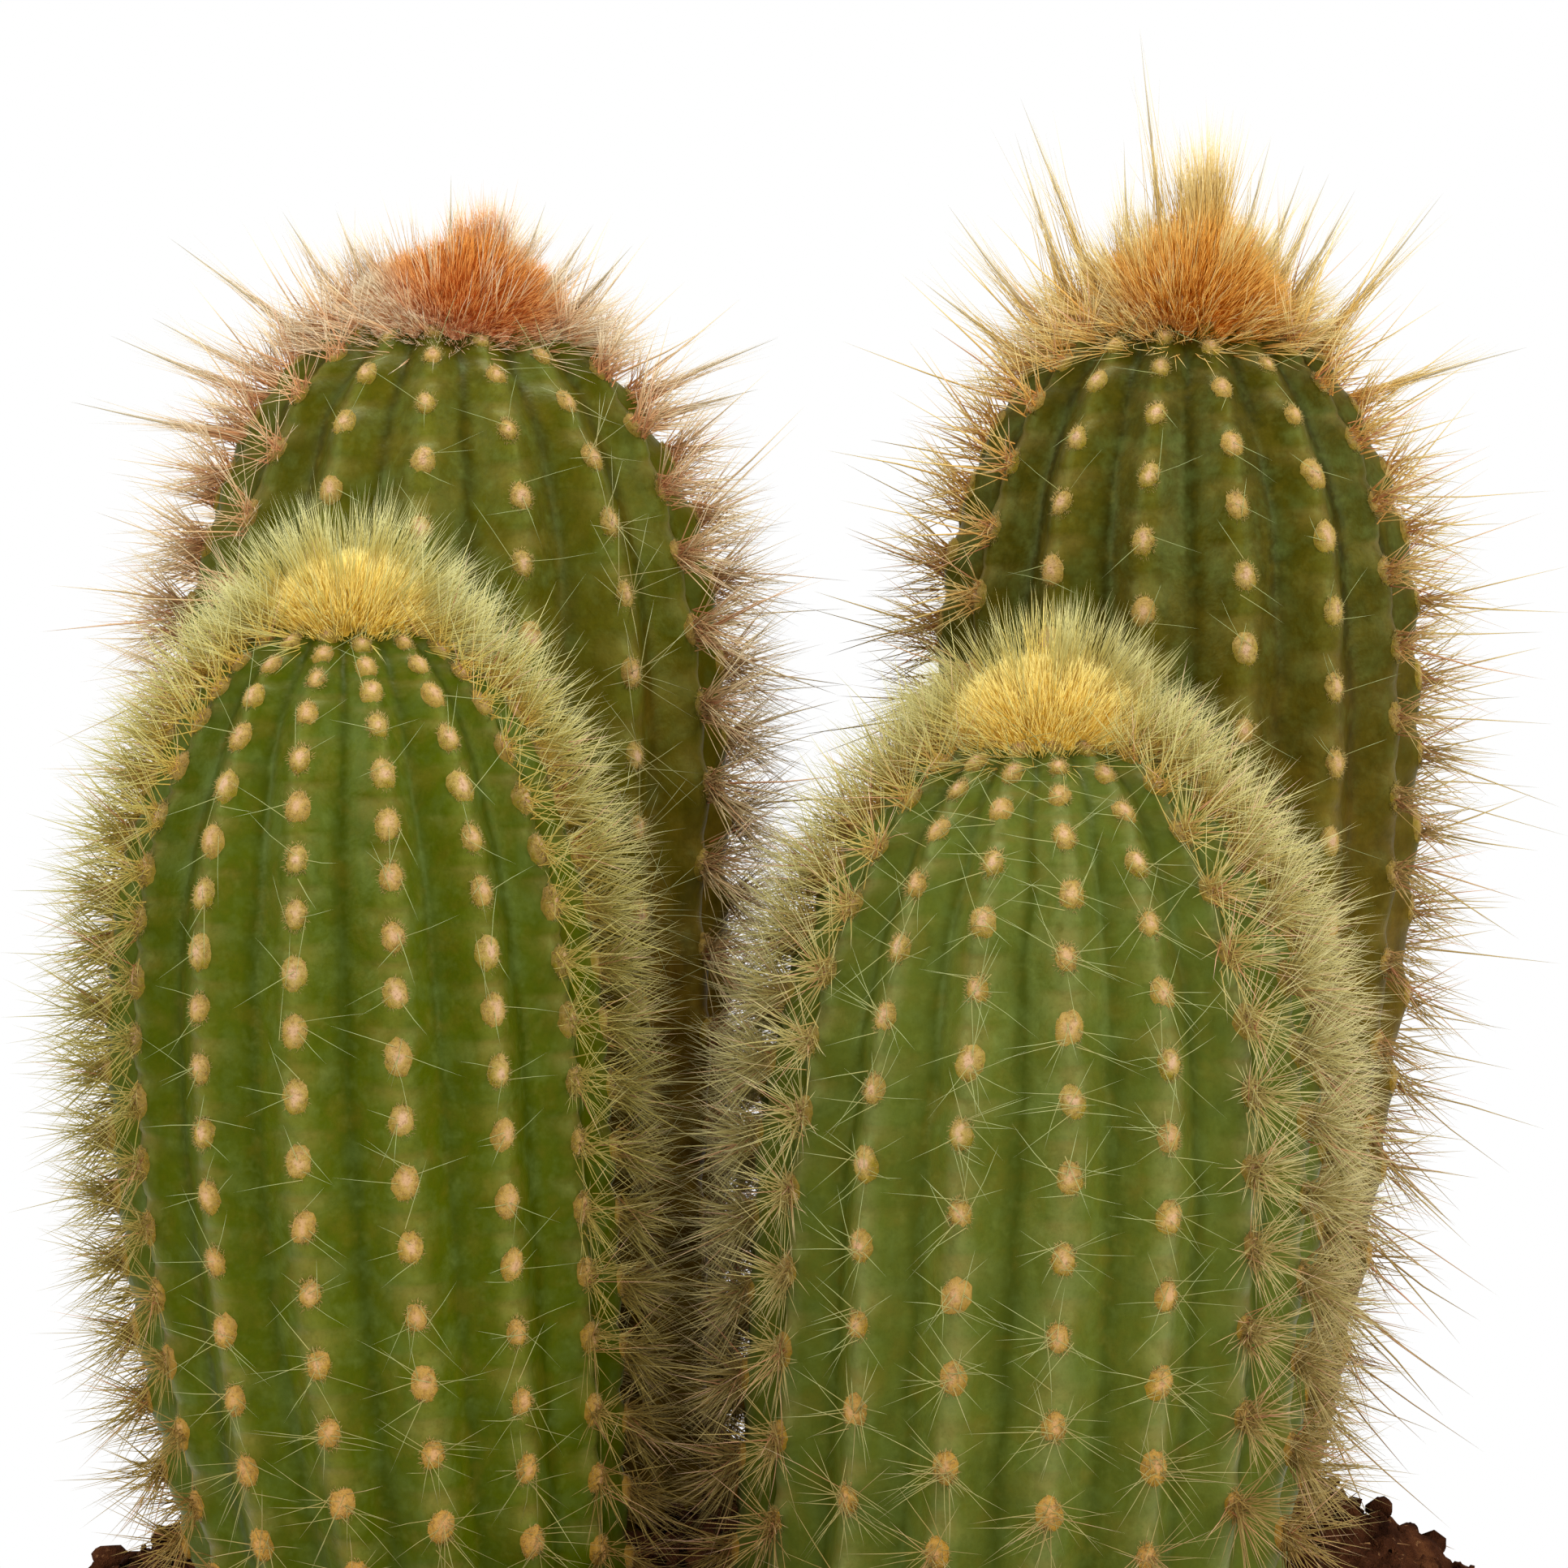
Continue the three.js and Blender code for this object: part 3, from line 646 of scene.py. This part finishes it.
def thinned(hairs):
    """Long hairs without most of those that would hide the heart from the front."""
    ways = hairs[1]
    toward = np.clip((-ways[:, 1] - 0.2) / 0.4, 0, 1)
    order = np.arange(len(ways)) * 0.618 % 1
    kept = order > 0.8 * toward
    return [part[kept] for part in hairs]


def spires(stem):
    """The long spines of SPIRES, which stand in the plane that the photograph looks at square on."""
    lean, length, out = np.array(SPIRES.get(stem.name, ()), float).reshape(-1, 3).T
    side = np.where(lean < 0, math.pi, 0.0)
    s = stem.length - np.interp(out, stem.r_line[::-1], stem.length - stem.s_line[::-1])
    roots = stem.point(s, side, 0.0 * out)
    tilt = np.radians(lean)
    ways = np.stack([np.sin(tilt), 0.12 * np.cos(out), np.cos(tilt)], -1)
    return roots, ways, length, np.full(len(out), SPIRE_RADIUS), out / stem.wool


def locks(random, stem):
    """Fine hairs that start round each long spine and close on it, as a pointed lock."""
    roots, ways, lengths, radii, spot = (np.repeat(part, LOCK, 0) for part in spires(stem))
    apart = random.normal(scale=0.9, size=roots.shape) * [1.0, 1.0, 0.3]
    ends = roots + ways * (lengths * random.uniform(0.35, 0.95, len(roots)))[:, None]
    ways = ends - roots - apart
    return roots + apart, ways, np.linalg.norm(ways, axis=1), hair_radii(random, len(roots)), spot


def tuft_piece(stem):
    """The crown: a heap of short bright hairs with longer and paler ones round and above it."""
    random = np.random.default_rng(stem.seed + 200)
    groups = [
        crown_hairs(stem, random, stem.heart, (0, 1.04), stem.heart_fan, stem.heart_reach, stem.heart_droop),
        thinned(crown_hairs(stem, random, stem.tips, (0.1, 1.0), 60, stem.tips_reach, 0.1, BUNDLE)),
        thinned(crown_hairs(stem, random, stem.collar, (0.9, 1.2), 92, stem.collar_reach, 0.0, BUNDLE)),
        plume_hairs(stem, random),
        spires(stem),
        locks(random, stem),
    ]
    roots, ways, lengths, radii, away = (np.concatenate(parts) for parts in zip(*groups))
    kind = np.repeat(np.arange(6), [len(group[0]) for group in groups])
    heart = stem.fade * away + np.maximum(away - stem.heart_width, 0) * 4
    paleness = np.choose(kind, [heart, 1.0, 1.0, stem.plume_pale + 1.5 * away, 1.0, 1.0])
    stout = (kind == 4).astype(float)
    sag = random.normal(scale=0.06, size=ways.shape) * (lengths * (1 - 0.7 * stout))[:, None]
    made = needles(
        "tuft_" + stem.name, roots, ways, lengths, radii, sag, taper=0.6 + 0.4 * stout, rings=3,
        pale=np.clip(paleness, 0, 1), stout=stout,
    )
    wear(made, tuft_material(stem), "crown_" + stem.name)


def wool_piece(stem):
    """A low dome of matted wool that the tuft grows through."""
    rows, columns = 40, 96
    outer = np.sin(np.linspace(math.pi / 2, 0.02, rows))
    angle = around(columns)
    s = stem.length - outer * stem.wool
    radius, height = stem.outline(s)
    sink = np.broadcast_to(RELIEF * (radius * outer ** 2)[:, None], (rows, columns))
    points = stem.point(s[:, None], angle[None], sink)
    clumps = np.array([[noise.fractal(Vector(p) * 0.9, 0.8, 2.0, 3) for p in row] for row in points])
    points[..., 2] += wool_lift(stem, outer[:, None], angle[None]) - 0.2 + clumps * 0.45
    made = new_object(
        "wool_" + stem.name, points.reshape(-1, 3), grid_quads(rows, columns),
        rim=flame_distance(stem, outer[:, None], angle[None]),
    )
    wear(made, wool_material(stem), "crown_" + stem.name)


# ---------------- soil and pot

SOIL_EDGE = 60.4  # radius of the heap
SOIL_ROWS = 150
SOIL_COLUMNS = 420
CRUMBS = 1900
CRUMBS_REACH = 59.0
FIBRES = 170
FIBRES_REACH = 57.0
POT_COLUMNS = 160


def soil_height(x, y):
    """Height of the crumbly heap at a place."""
    r = math.hypot(x, y)
    edge = min(max((r - 50.0) / 10.6, 0), 1)
    mound = SOIL_LEVEL + 0.4 - 11.0 * edge ** 1.8
    right = 2.2 * math.exp(-((x - 42) / 9) ** 2 - ((y - 8) / 17) ** 2)
    left = -1.2 * math.exp(-((x + 51) / 6) ** 2 - ((y - 2) / 16) ** 2)
    place = Vector((x, y, 0.0))
    lumps = noise.fractal(place * 0.11, 1.0, 2.0, 3) * 1.5
    clods = noise.fractal(place * 0.3, 0.8, 2.0, 4) * 1.3
    grains = noise.noise(place * 1.7) * 0.35
    return mound + (right + left + lumps + clods) * (1 - 0.5 * edge) + grains


def wall_radius(z):
    """Radius of the pot's inside at a height."""
    low = POT_FLOOR + 2
    share = (z - low) / (POT_HEIGHT - 2.5 - low)
    return (POT_FOOT - POT_WALL + 1) * (1 - share) + POT_MOUTH * share


def ring(radius, turn, height):
    return np.stack([radius * np.cos(turn), radius * np.sin(turn), np.full(len(turn), height)], -1)


def soil_piece():
    """The filling: smooth against the pot, crumbled on top."""
    turn = around(SOIL_COLUMNS)
    rows = [
        ring(wall_radius(9.3) - 2, turn, POT_FLOOR + 0.3),
        ring(wall_radius(9.3) - 0.3, turn, POT_FLOOR + 2.3),
        ring(wall_radius(114.0) - 0.3, turn, 114.0),
    ]
    for r in np.linspace(SOIL_EDGE, 0.6, SOIL_ROWS):
        flat = ring(r, turn, 0.0)
        flat[:, 2] = [soil_height(x, y) for x, y in flat[:, :2]]
        rows.append(flat)
    made = new_object("soil_heap", np.concatenate(rows), grid_quads(len(rows), len(turn)))
    wear(made, soil_material(), "soil")


def crumb_piece():
    """Loose crumbs of soil that lie on the heap."""
    random = np.random.default_rng(21)
    base, faces = crumb_form()
    angle = random.uniform(0, math.tau, CRUMBS)
    reach = CRUMBS_REACH * np.sqrt(random.uniform(0, 1, CRUMBS))
    size = 0.35 + 1.2 * random.uniform(0, 1, CRUMBS) ** 3
    points = []
    for n in range(CRUMBS):
        x, y = reach[n] * math.cos(angle[n]), reach[n] * math.sin(angle[n])
        spot = np.array([x, y, soil_height(x, y) + size[n] * 0.35])
        turn, _ = np.linalg.qr(random.normal(size=(3, 3)))
        squash = random.uniform(0.6, 1.15, 3)
        lumpy = base + ripple(base, int(random.integers(1 << 30)), 0.34, 1.6)
        points.append(spot + (lumpy * squash) @ turn * size[n])
    made = new_object("soil_crumbs", np.concatenate(points), triangles=repeats(faces, CRUMBS, len(base)))
    wear(made, soil_material(), "soil")


def fibre_piece():
    """Fine dead roots, half sunk in the soil."""
    random = np.random.default_rng(34)
    angle = random.uniform(0, math.tau, FIBRES)
    reach = FIBRES_REACH * np.sqrt(random.uniform(0.05, 1, FIBRES))
    x, y = reach * np.cos(angle), reach * np.sin(angle)
    height = np.array([soil_height(*spot) for spot in zip(x, y)])
    ways = random.normal(size=(FIBRES, 3)) * [1.0, 1.0, 0.22] + [0.0, 0.0, 0.12]
    lengths = random.uniform(2.0, 6.5, FIBRES)
    made = needles(
        "soil_fibres", np.stack([x, y, height], -1), ways, lengths, random.uniform(0.07, 0.16, FIBRES),
        random.normal(scale=0.3, size=ways.shape) * lengths[:, None] * [1.0, 1.0, 0.3], rings=6,
    )
    wear(made, fibre_material(), "soil")


def crumb_form():
    """A ball of eighty triangles: a twenty-sided solid, each face cut in four."""
    g = (1 + math.sqrt(5)) / 2
    corners = [np.roll((x, y, 0.0), turn) for turn in range(3) for y in (g, -g) for x in (-1, 1)]
    points = list(unit(np.array(corners)))
    middles = {}

    def middle(a, b):
        key = (min(a, b), max(a, b))
        if key not in middles:
            middles[key] = len(points)
            points.append(unit(points[a] + points[b]))
        return middles[key]

    faces = []
    for a, b, c in twenty_faces(np.array(points)):
        ab, bc, ca = middle(a, b), middle(b, c), middle(c, a)
        faces += [(a, ab, ca), (ab, b, bc), (ca, bc, c), (ab, bc, ca)]
    return np.array(points), np.array(faces)


def twenty_faces(points):
    """Triangles between neighbours among a twenty-sided solid's twelve points, facing out."""
    near = 1.0515 + 0.02  # the solid's edge and a margin
    faces = []
    for a, b, c in np.ndindex(12, 12, 12):
        three = points[[a, b, c]]
        if a < b < c and np.linalg.norm(three - three[[1, 2, 0]], axis=1).max() < near:
            faces.append((a, b, c) if np.linalg.det(three) > 0 else (a, c, b))
    return faces


def pot_profile():
    """Corners of the clay's section, from the drain hole round the outside and back."""
    return [
        (POT_DRAIN, 0.4), (POT_DRAIN + 0.4, 0.0), (POT_FOOT - 1.5, 0.0), (POT_FOOT - 0.4, 0.4),
        (POT_FOOT, 1.5), (POT_NECK - 0.2, POT_COLLAR - 2.6), (POT_NECK + 0.1, POT_COLLAR - 1.2),
        (POT_RIM - 4.4, POT_COLLAR - 0.1), (POT_RIM - 3.5, POT_COLLAR + 0.7),
        (POT_RIM - 0.15, POT_HEIGHT - 3.2), (POT_RIM - 0.35, POT_HEIGHT - 1.4),
        (POT_RIM - 1.2, POT_HEIGHT - 0.4), ((POT_RIM + POT_MOUTH) / 2, POT_HEIGHT),
        (POT_MOUTH + 0.7, POT_HEIGHT - 0.5), (POT_MOUTH, POT_HEIGHT - 2.5),
        (POT_FOOT - POT_WALL + 1, POT_FLOOR + 2), (POT_FOOT - POT_WALL - 1, POT_FLOOR),
        (POT_DRAIN + 0.4, POT_FLOOR), (POT_DRAIN, POT_FLOOR - 0.4),
    ]


def pot_piece():
    """The clay pot, turned from its section."""
    corners = pot_profile()
    line = []
    for (r0, z0), (r1, z1) in zip(corners, corners[1:] + corners[:1]):
        steps = max(1, int(math.hypot(r1 - r0, z1 - z0) / 3.0))
        line += [(r0 + (r1 - r0) * i / steps, z0 + (z1 - z0) * i / steps) for i in range(steps)]
    turn = around(POT_COLUMNS)
    quads = grid_quads(len(line) + 1, POT_COLUMNS) % (len(line) * POT_COLUMNS)
    made = new_object("pot_clay", np.concatenate([ring(r, turn, z) for r, z in line]), quads)
    wear(made, clay_material(), "pot")


# ---------------- materials

def tone(color):
    """A colour as the linear one that a shader takes."""
    shares = [part / 255 for part in color]
    return [v / 12.92 if v <= 0.04045 else ((v + 0.055) / 1.055) ** 2.4 for v in shares] + [1.0]


class Paint:
    """A material whose nodes are added one call at a time."""

    def __init__(self, name, roughness, gloss=0.3):
        self.material = bpy.data.materials.new(name)
        self.material.use_nodes = True
        self.tree = self.material.node_tree
        self.shader = self.tree.nodes["Principled BSDF"]
        self.shader.inputs["Roughness"].default_value = roughness
        self.shader.inputs["Specular IOR Level"].default_value = gloss
        self.place = self.add("ShaderNodeTexCoord").outputs["Object"]

    def add(self, kind, **inputs):
        """A node with some inputs given, their blanks written as underscores."""
        node = self.tree.nodes.new(kind)
        for key, value in inputs.items():
            self.join(value, node.inputs[key.replace("_", " ")])
        return node

    def join(self, value, socket):
        """Links an output to a socket, or sets the socket to a colour or a number."""
        if hasattr(value, "is_output"):
            self.tree.links.new(value, socket)
        else:
            socket.default_value = tone(value) if isinstance(value, tuple) else value

    def attribute(self, name):
        node = self.add("ShaderNodeAttribute")
        node.attribute_name = name
        return node.outputs["Fac"]

    def noise(self, scale, detail=3.0, roughness=0.55, stretch=None):
        place = self.place
        if stretch:
            mapping = self.add("ShaderNodeMapping", Vector=place)
            mapping.inputs["Scale"].default_value = stretch
            place = mapping.outputs["Vector"]
        node = self.add("ShaderNodeTexNoise", Vector=place, Scale=scale, Detail=detail, Roughness=roughness)
        return node.outputs["Fac"]

    def ramp(self, value, *stops):
        node = self.add("ShaderNodeValToRGB", Fac=value)
        points = node.color_ramp.elements
        while len(points) < len(stops):
            points.new(0.5)
        for point, (position, color) in zip(points, stops):
            point.position = position
            point.color = tone(color)
        return node.outputs["Color"]

    def between(self, value, low, high):
        node = self.add("ShaderNodeMapRange", Value=value, From_Min=low, From_Max=high)
        return node.outputs["Result"]

    def maths(self, operation, a, b):
        node = self.add("ShaderNodeMath")
        node.operation = operation
        self.join(a, node.inputs[0])
        self.join(b, node.inputs[1])
        return node.outputs[0]

    def times(self, a, b):
        return self.maths("MULTIPLY", a, b)

    def roughened(self, value, noise, amount):
        """A value moved up and down by noise."""
        return self.maths("ADD", value, self.times(self.maths("SUBTRACT", noise, 0.5), amount))

    def mix(self, share, a, b):
        node = self.add("ShaderNodeMix")
        node.data_type = "RGBA"
        self.join(share, node.inputs["Factor"])
        for value, socket in zip((a, b), [i for i in node.inputs if i.type == "RGBA"]):
            self.join(value, socket)
        return [o for o in node.outputs if o.type == "RGBA"][0]

    def over(self, color, other, share, strength):
        """A colour with another one over it."""
        return self.mix(self.times(share, strength), color, other)

    def spotted(self, color, other, strength, low, high, *texture):
        """A colour with another one over it where a noise rises from low to high."""
        return self.over(color, other, self.between(self.noise(*texture), low, high), strength)

    def color(self, value):
        self.join(value, self.shader.inputs["Base Color"])

    def bump(self, height, strength, distance):
        before = self.shader.inputs["Normal"]
        node = self.add("ShaderNodeBump", Height=height, Strength=strength, Distance=distance)
        if before.is_linked:
            self.tree.links.new(before.links[0].from_socket, node.inputs["Normal"])
        self.tree.links.new(node.outputs["Normal"], before)


def skin_material(stem):
    """Waxy green skin: painted shade in the grooves, a pale bloom with painted sheen on the crests, and
    corky near an old foot, whose darkness there is partly painted shade.
    """
    groove, flank, crest = stem.skin
    paint = Paint("skin_" + stem.name, 0.4, 0.25)
    paint.join((150, 176, 90), paint.shader.inputs["Specular Tint"])
    mottle = paint.noise(260, 4.0, 0.6)
    ridge = paint.roughened(paint.attribute("crest"), mottle, 0.35)
    # The dark grooves are painted shade; the pale crests are a bloom and painted sheen.
    color = paint.ramp(ridge, (0.05, groove), (0.3, flank), (0.62, flank), (0.95, crest))
    color = paint.spotted(color, groove, 0.3, 0.42, 0.66, 70)
    patchy = paint.noise(380, 3.0, 0.6)
    color = paint.over(color, (82, 98, 48), paint.between(patchy, 0.5, 0.68), 0.25)
    color = paint.over(color, (88, 74, 14), paint.between(patchy, 0.48, 0.32), 0.3)
    weathered = paint.times(paint.attribute("patch"), paint.between(mottle, 0.3, 0.6))
    color = paint.over(color, (106, 88, 42), weathered, 0.45)
    color = paint.spotted(color, groove, 0.22, 0.5, 0.7, 2600, 2.0, 0.7)
    # Fine dark speckle: partly the skin's own, partly painted shadow of the spines.
    color = paint.spotted(color, groove, 0.3, 0.5, 0.68, 640, 4.0, 0.7)
    color = paint.spotted(color, (130, 140, 70), 0.08, 0.52, 0.75, 900, 2.0, 0.7)
    # The foot's bark colour darkens the lower body: partly real cork, partly painted shade.
    if stem.cork:
        height = paint.roughened(paint.attribute("rise"), paint.noise(130, 4.0), 0.5)
        low = paint.between(height, 0.78, 0.38)
        bark_and_shade = paint.ramp(paint.noise(420, 4.0, 0.65), (0.3, (52, 32, 0)), (0.7, (98, 74, 18)))
        color = paint.over(color, bark_and_shade, low, stem.cork)
    paint.color(color)
    paint.bump(paint.noise(1400, 3.0), 0.25, 0.0002)
    paint.bump(mottle, 0.3, 0.0006)
    return paint.material


def felt_material(stem):
    """Tan felt with a pinkish middle, more orange on the old areoles near the foot."""
    paint = Paint("felt_" + stem.name, 0.95, 0.05)
    fuzz = paint.noise(4200, 3.0, 0.7)
    blotch = paint.noise(1500, 3.0, 0.6)
    shade = paint.roughened(paint.attribute("rim"), blotch, 1.1)
    color = paint.ramp(shade, (0.1, (176, 144, 112)), (0.4, (156, 132, 74)), (0.9, (118, 104, 26)))
    old = paint.between(paint.attribute("rise"), 0.5, 0.05)
    color = paint.over(color, (172, 118, 36), old, 0.55)
    color = paint.over(color, (156, 118, 62), paint.attribute("tint"), 0.35)
    color = paint.spotted(color, (110, 74, 34), 0.45, 0.54, 0.66, 3400, 2.0)
    paint.color(paint.over(color, (206, 184, 130), paint.attribute("along"), 0.6))
    paint.bump(fuzz, 0.7, 0.00025)
    return paint.material


def shades(paint, colors):
    """Colours from root to tip."""
    return paint.ramp(paint.attribute("along"), *zip((0.0, 0.45, 1.0), colors))


RUST = ((150, 84, 46), (184, 134, 98), (204, 176, 148))
SPIRE = ((180, 138, 84), (172, 156, 122), (158, 152, 134))
OLD = ((126, 92, 40), (136, 108, 52), (146, 122, 70))
FACING = ((142, 134, 78), (132, 140, 88), (156, 166, 120))


def spine_material(stem):
    """Straw spines, browner near the foot, paler by the crown, grey-green in front, a few rust-tinged."""
    paint = Paint("spines_" + stem.name, 0.55, 0.15)
    youth = paint.between(paint.attribute("youth"), 0.6, 1.0)
    color = paint.mix(youth, shades(paint, stem.straw), shades(paint, stem.pale))
    color = paint.mix(paint.between(paint.attribute("youth"), 0.55, 0.0), color, shades(paint, OLD))
    rusty = paint.between(paint.attribute("tint"), 1.0 - 1.5 * stem.rust, 1.0)
    color = paint.mix(rusty, color, shades(paint, RUST))
    facing = paint.between(paint.attribute("bare"), 0.45, 0.95)
    paint.color(paint.mix(facing, color, shades(paint, FACING)))
    return paint.material


def wool_material(stem):
    """Matted bright wool, paler towards its rim."""
    paint = Paint("wool_" + stem.name, 0.95, 0.02)
    fuzz = paint.noise(1800, 4.0, 0.7)
    rim = paint.roughened(paint.attribute("rim"), fuzz, 0.5)
    outside = paint.between(rim, stem.heart_width - 0.1, stem.heart_width + 0.25)
    color = paint.over(stem.wool_color, stem.pale[1], outside, 0.7)
    dark = paint.between(fuzz, 0.55, 0.3)
    paint.color(paint.over(color, tuple(0.7 * part for part in stem.wool_color), dark, 0.35))
    paint.bump(fuzz, 0.6, 0.0006)
    return paint.material


def tuft_material(stem):
    """Bright short hairs at the heart of a crown, pale longer ones, and a few greyer long spines."""
    paint = Paint("tuft_" + stem.name, 0.6, 0.1)
    # The gold at the hair roots is brightened: partly the hairs' own colour, partly painted glow of light
    # passing through the tuft.
    color = paint.mix(paint.attribute("pale"), shades(paint, stem.gold), shades(paint, stem.pale))
    paint.color(paint.mix(paint.attribute("stout"), color, shades(paint, SPIRE)))
    return paint.material


def soil_material():
    """Damp peat: near-black brown with reddish crumbs and a few pale bits."""
    paint = Paint("peat", 0.95, 0.03)
    coarse = paint.noise(260, 5.0, 0.7)
    color = paint.ramp(coarse, (0.32, (30, 13, 5)), (0.55, (60, 32, 16)), (0.75, (94, 58, 32)))
    paint.color(paint.spotted(color, (140, 102, 66), 0.4, 0.66, 0.72, 1500, 2.0, 0.5))
    paint.bump(paint.noise(900, 4.0, 0.7), 0.9, 0.0012)
    return paint.material


def fibre_material():
    """Dry dead root, pale brown."""
    paint = Paint("fibre", 0.9, 0.05)
    paint.color(paint.ramp(paint.noise(500, 2.0), (0.35, (92, 60, 34)), (0.65, (150, 114, 72))))
    return paint.material


def clay_material():
    """Unglazed fired clay: warm, mottled, with a chalky bloom and faint turning lines."""
    paint = Paint("clay", 0.86, 0.2)
    mottle = paint.noise(45, 5.0, 0.6)
    color = paint.ramp(mottle, (0.3, (142, 74, 46)), (0.55, (162, 92, 62)), (0.75, (178, 112, 80)))
    color = paint.spotted(color, (204, 168, 144), 0.3, 0.5, 0.72, 24, 6.0, 0.65, (1, 1, 0.6))
    paint.color(paint.spotted(color, (120, 62, 40), 0.35, 0.64, 0.7, 1100, 2.0))
    paint.bump(paint.noise(3, 3.0, 0.5, (1, 1, 260)), 0.25, 0.0004)
    paint.bump(paint.noise(700, 4.0, 0.7), 0.35, 0.0004)
    return paint.material


# ---------------- studio

FLOOR_RADIUS = 1200.0
FLOOR_SIDES = 96
FLOOR_DROP = 0.0002  # in metres, so that the pot's underside isn't in the floor's plane
FLOOR_FADE = (0.3, 0.62)  # in metres from the middle
LIT_HEIGHT = 0.18  # in metres, of the spot that the lights look at
LIGHTS = (  # name, place, size and power
    ("left", (-0.85, -0.4, 0.6), 0.6, 9.0),
    ("right", (0.85, -0.45, 0.6), 0.6, 9.5),
    ("front", (0.25, -1.1, 0.4), 0.8, 6.0),
    ("top", (0.0, 0.15, 1.1), 0.6, 10.0),
)


def blend_shaders(tree, share, first, second, output):
    """Two shaders, mixed into a node tree's output."""
    blend = tree.nodes.new("ShaderNodeMixShader")
    for number, source in enumerate((share, first.outputs[0], second.outputs[0])):
        tree.links.new(source, blend.inputs[number])
    tree.links.new(blend.outputs[0], tree.nodes[output].inputs["Surface"])


def floor_piece():
    """A white floor that fades into the white surroundings."""
    turn = around(FLOOR_SIDES)
    rows = [ring(FLOOR_RADIUS, turn, 0.0), ring(0.5, turn, 0.0)]
    made = new_object("floor", np.concatenate(rows), grid_quads(2, FLOOR_SIDES))
    made.location.z = -FLOOR_DROP
    paint = Paint("floor", 0.8)
    paint.color((245, 245, 245))
    reach = paint.add("ShaderNodeVectorMath", Vector=paint.place)
    reach.operation = "LENGTH"
    far = paint.between(reach.outputs["Value"], *FLOOR_FADE)
    clear = paint.add("ShaderNodeBsdfTransparent")
    blend_shaders(paint.tree, far, paint.shader, clear, "Material Output")
    made.data.materials.append(paint.material)


def light_studio():
    """White surroundings and four soft lights."""
    world = bpy.data.worlds.new("studio")
    bpy.context.scene.world = world
    world.use_nodes = True
    tree = world.node_tree
    soft = tree.nodes["Background"]
    white = tree.nodes.new("ShaderNodeBackground")
    for background, strength in ((soft, 0.5), (white, 1.0)):
        background.inputs["Color"].default_value = (1.0, 1.0, 1.0, 1.0)
        background.inputs["Strength"].default_value = strength
    seen = tree.nodes.new("ShaderNodeLightPath")
    blend_shaders(tree, seen.outputs["Is Camera Ray"], soft, white, "World Output")
    for light in LIGHTS:
        add_light(*light)
    bpy.context.scene.view_settings.view_transform = "Standard"


def add_light(name, place, size, power):
    data = bpy.data.lights.new(name, "AREA")
    data.size = size
    data.energy = power
    lamp = put(name, data)
    lamp.location = place
    way = Vector((0, 0, LIT_HEIGHT)) - lamp.location
    lamp.rotation_euler = way.to_track_quat("-Z", "Y").to_euler()


# ---------------- the whole plant

ALL_STEMS = [Stem(name) for name in STEMS]

place_camera()
for stem in ALL_STEMS:
    skin_piece(stem)
    areole_piece(stem)
    fuzz_piece(stem)
    spine_piece(stem)
    wool_piece(stem)
    tuft_piece(stem)
soil_piece()
crumb_piece()
fibre_piece()
pot_piece()
floor_piece()
light_studio()
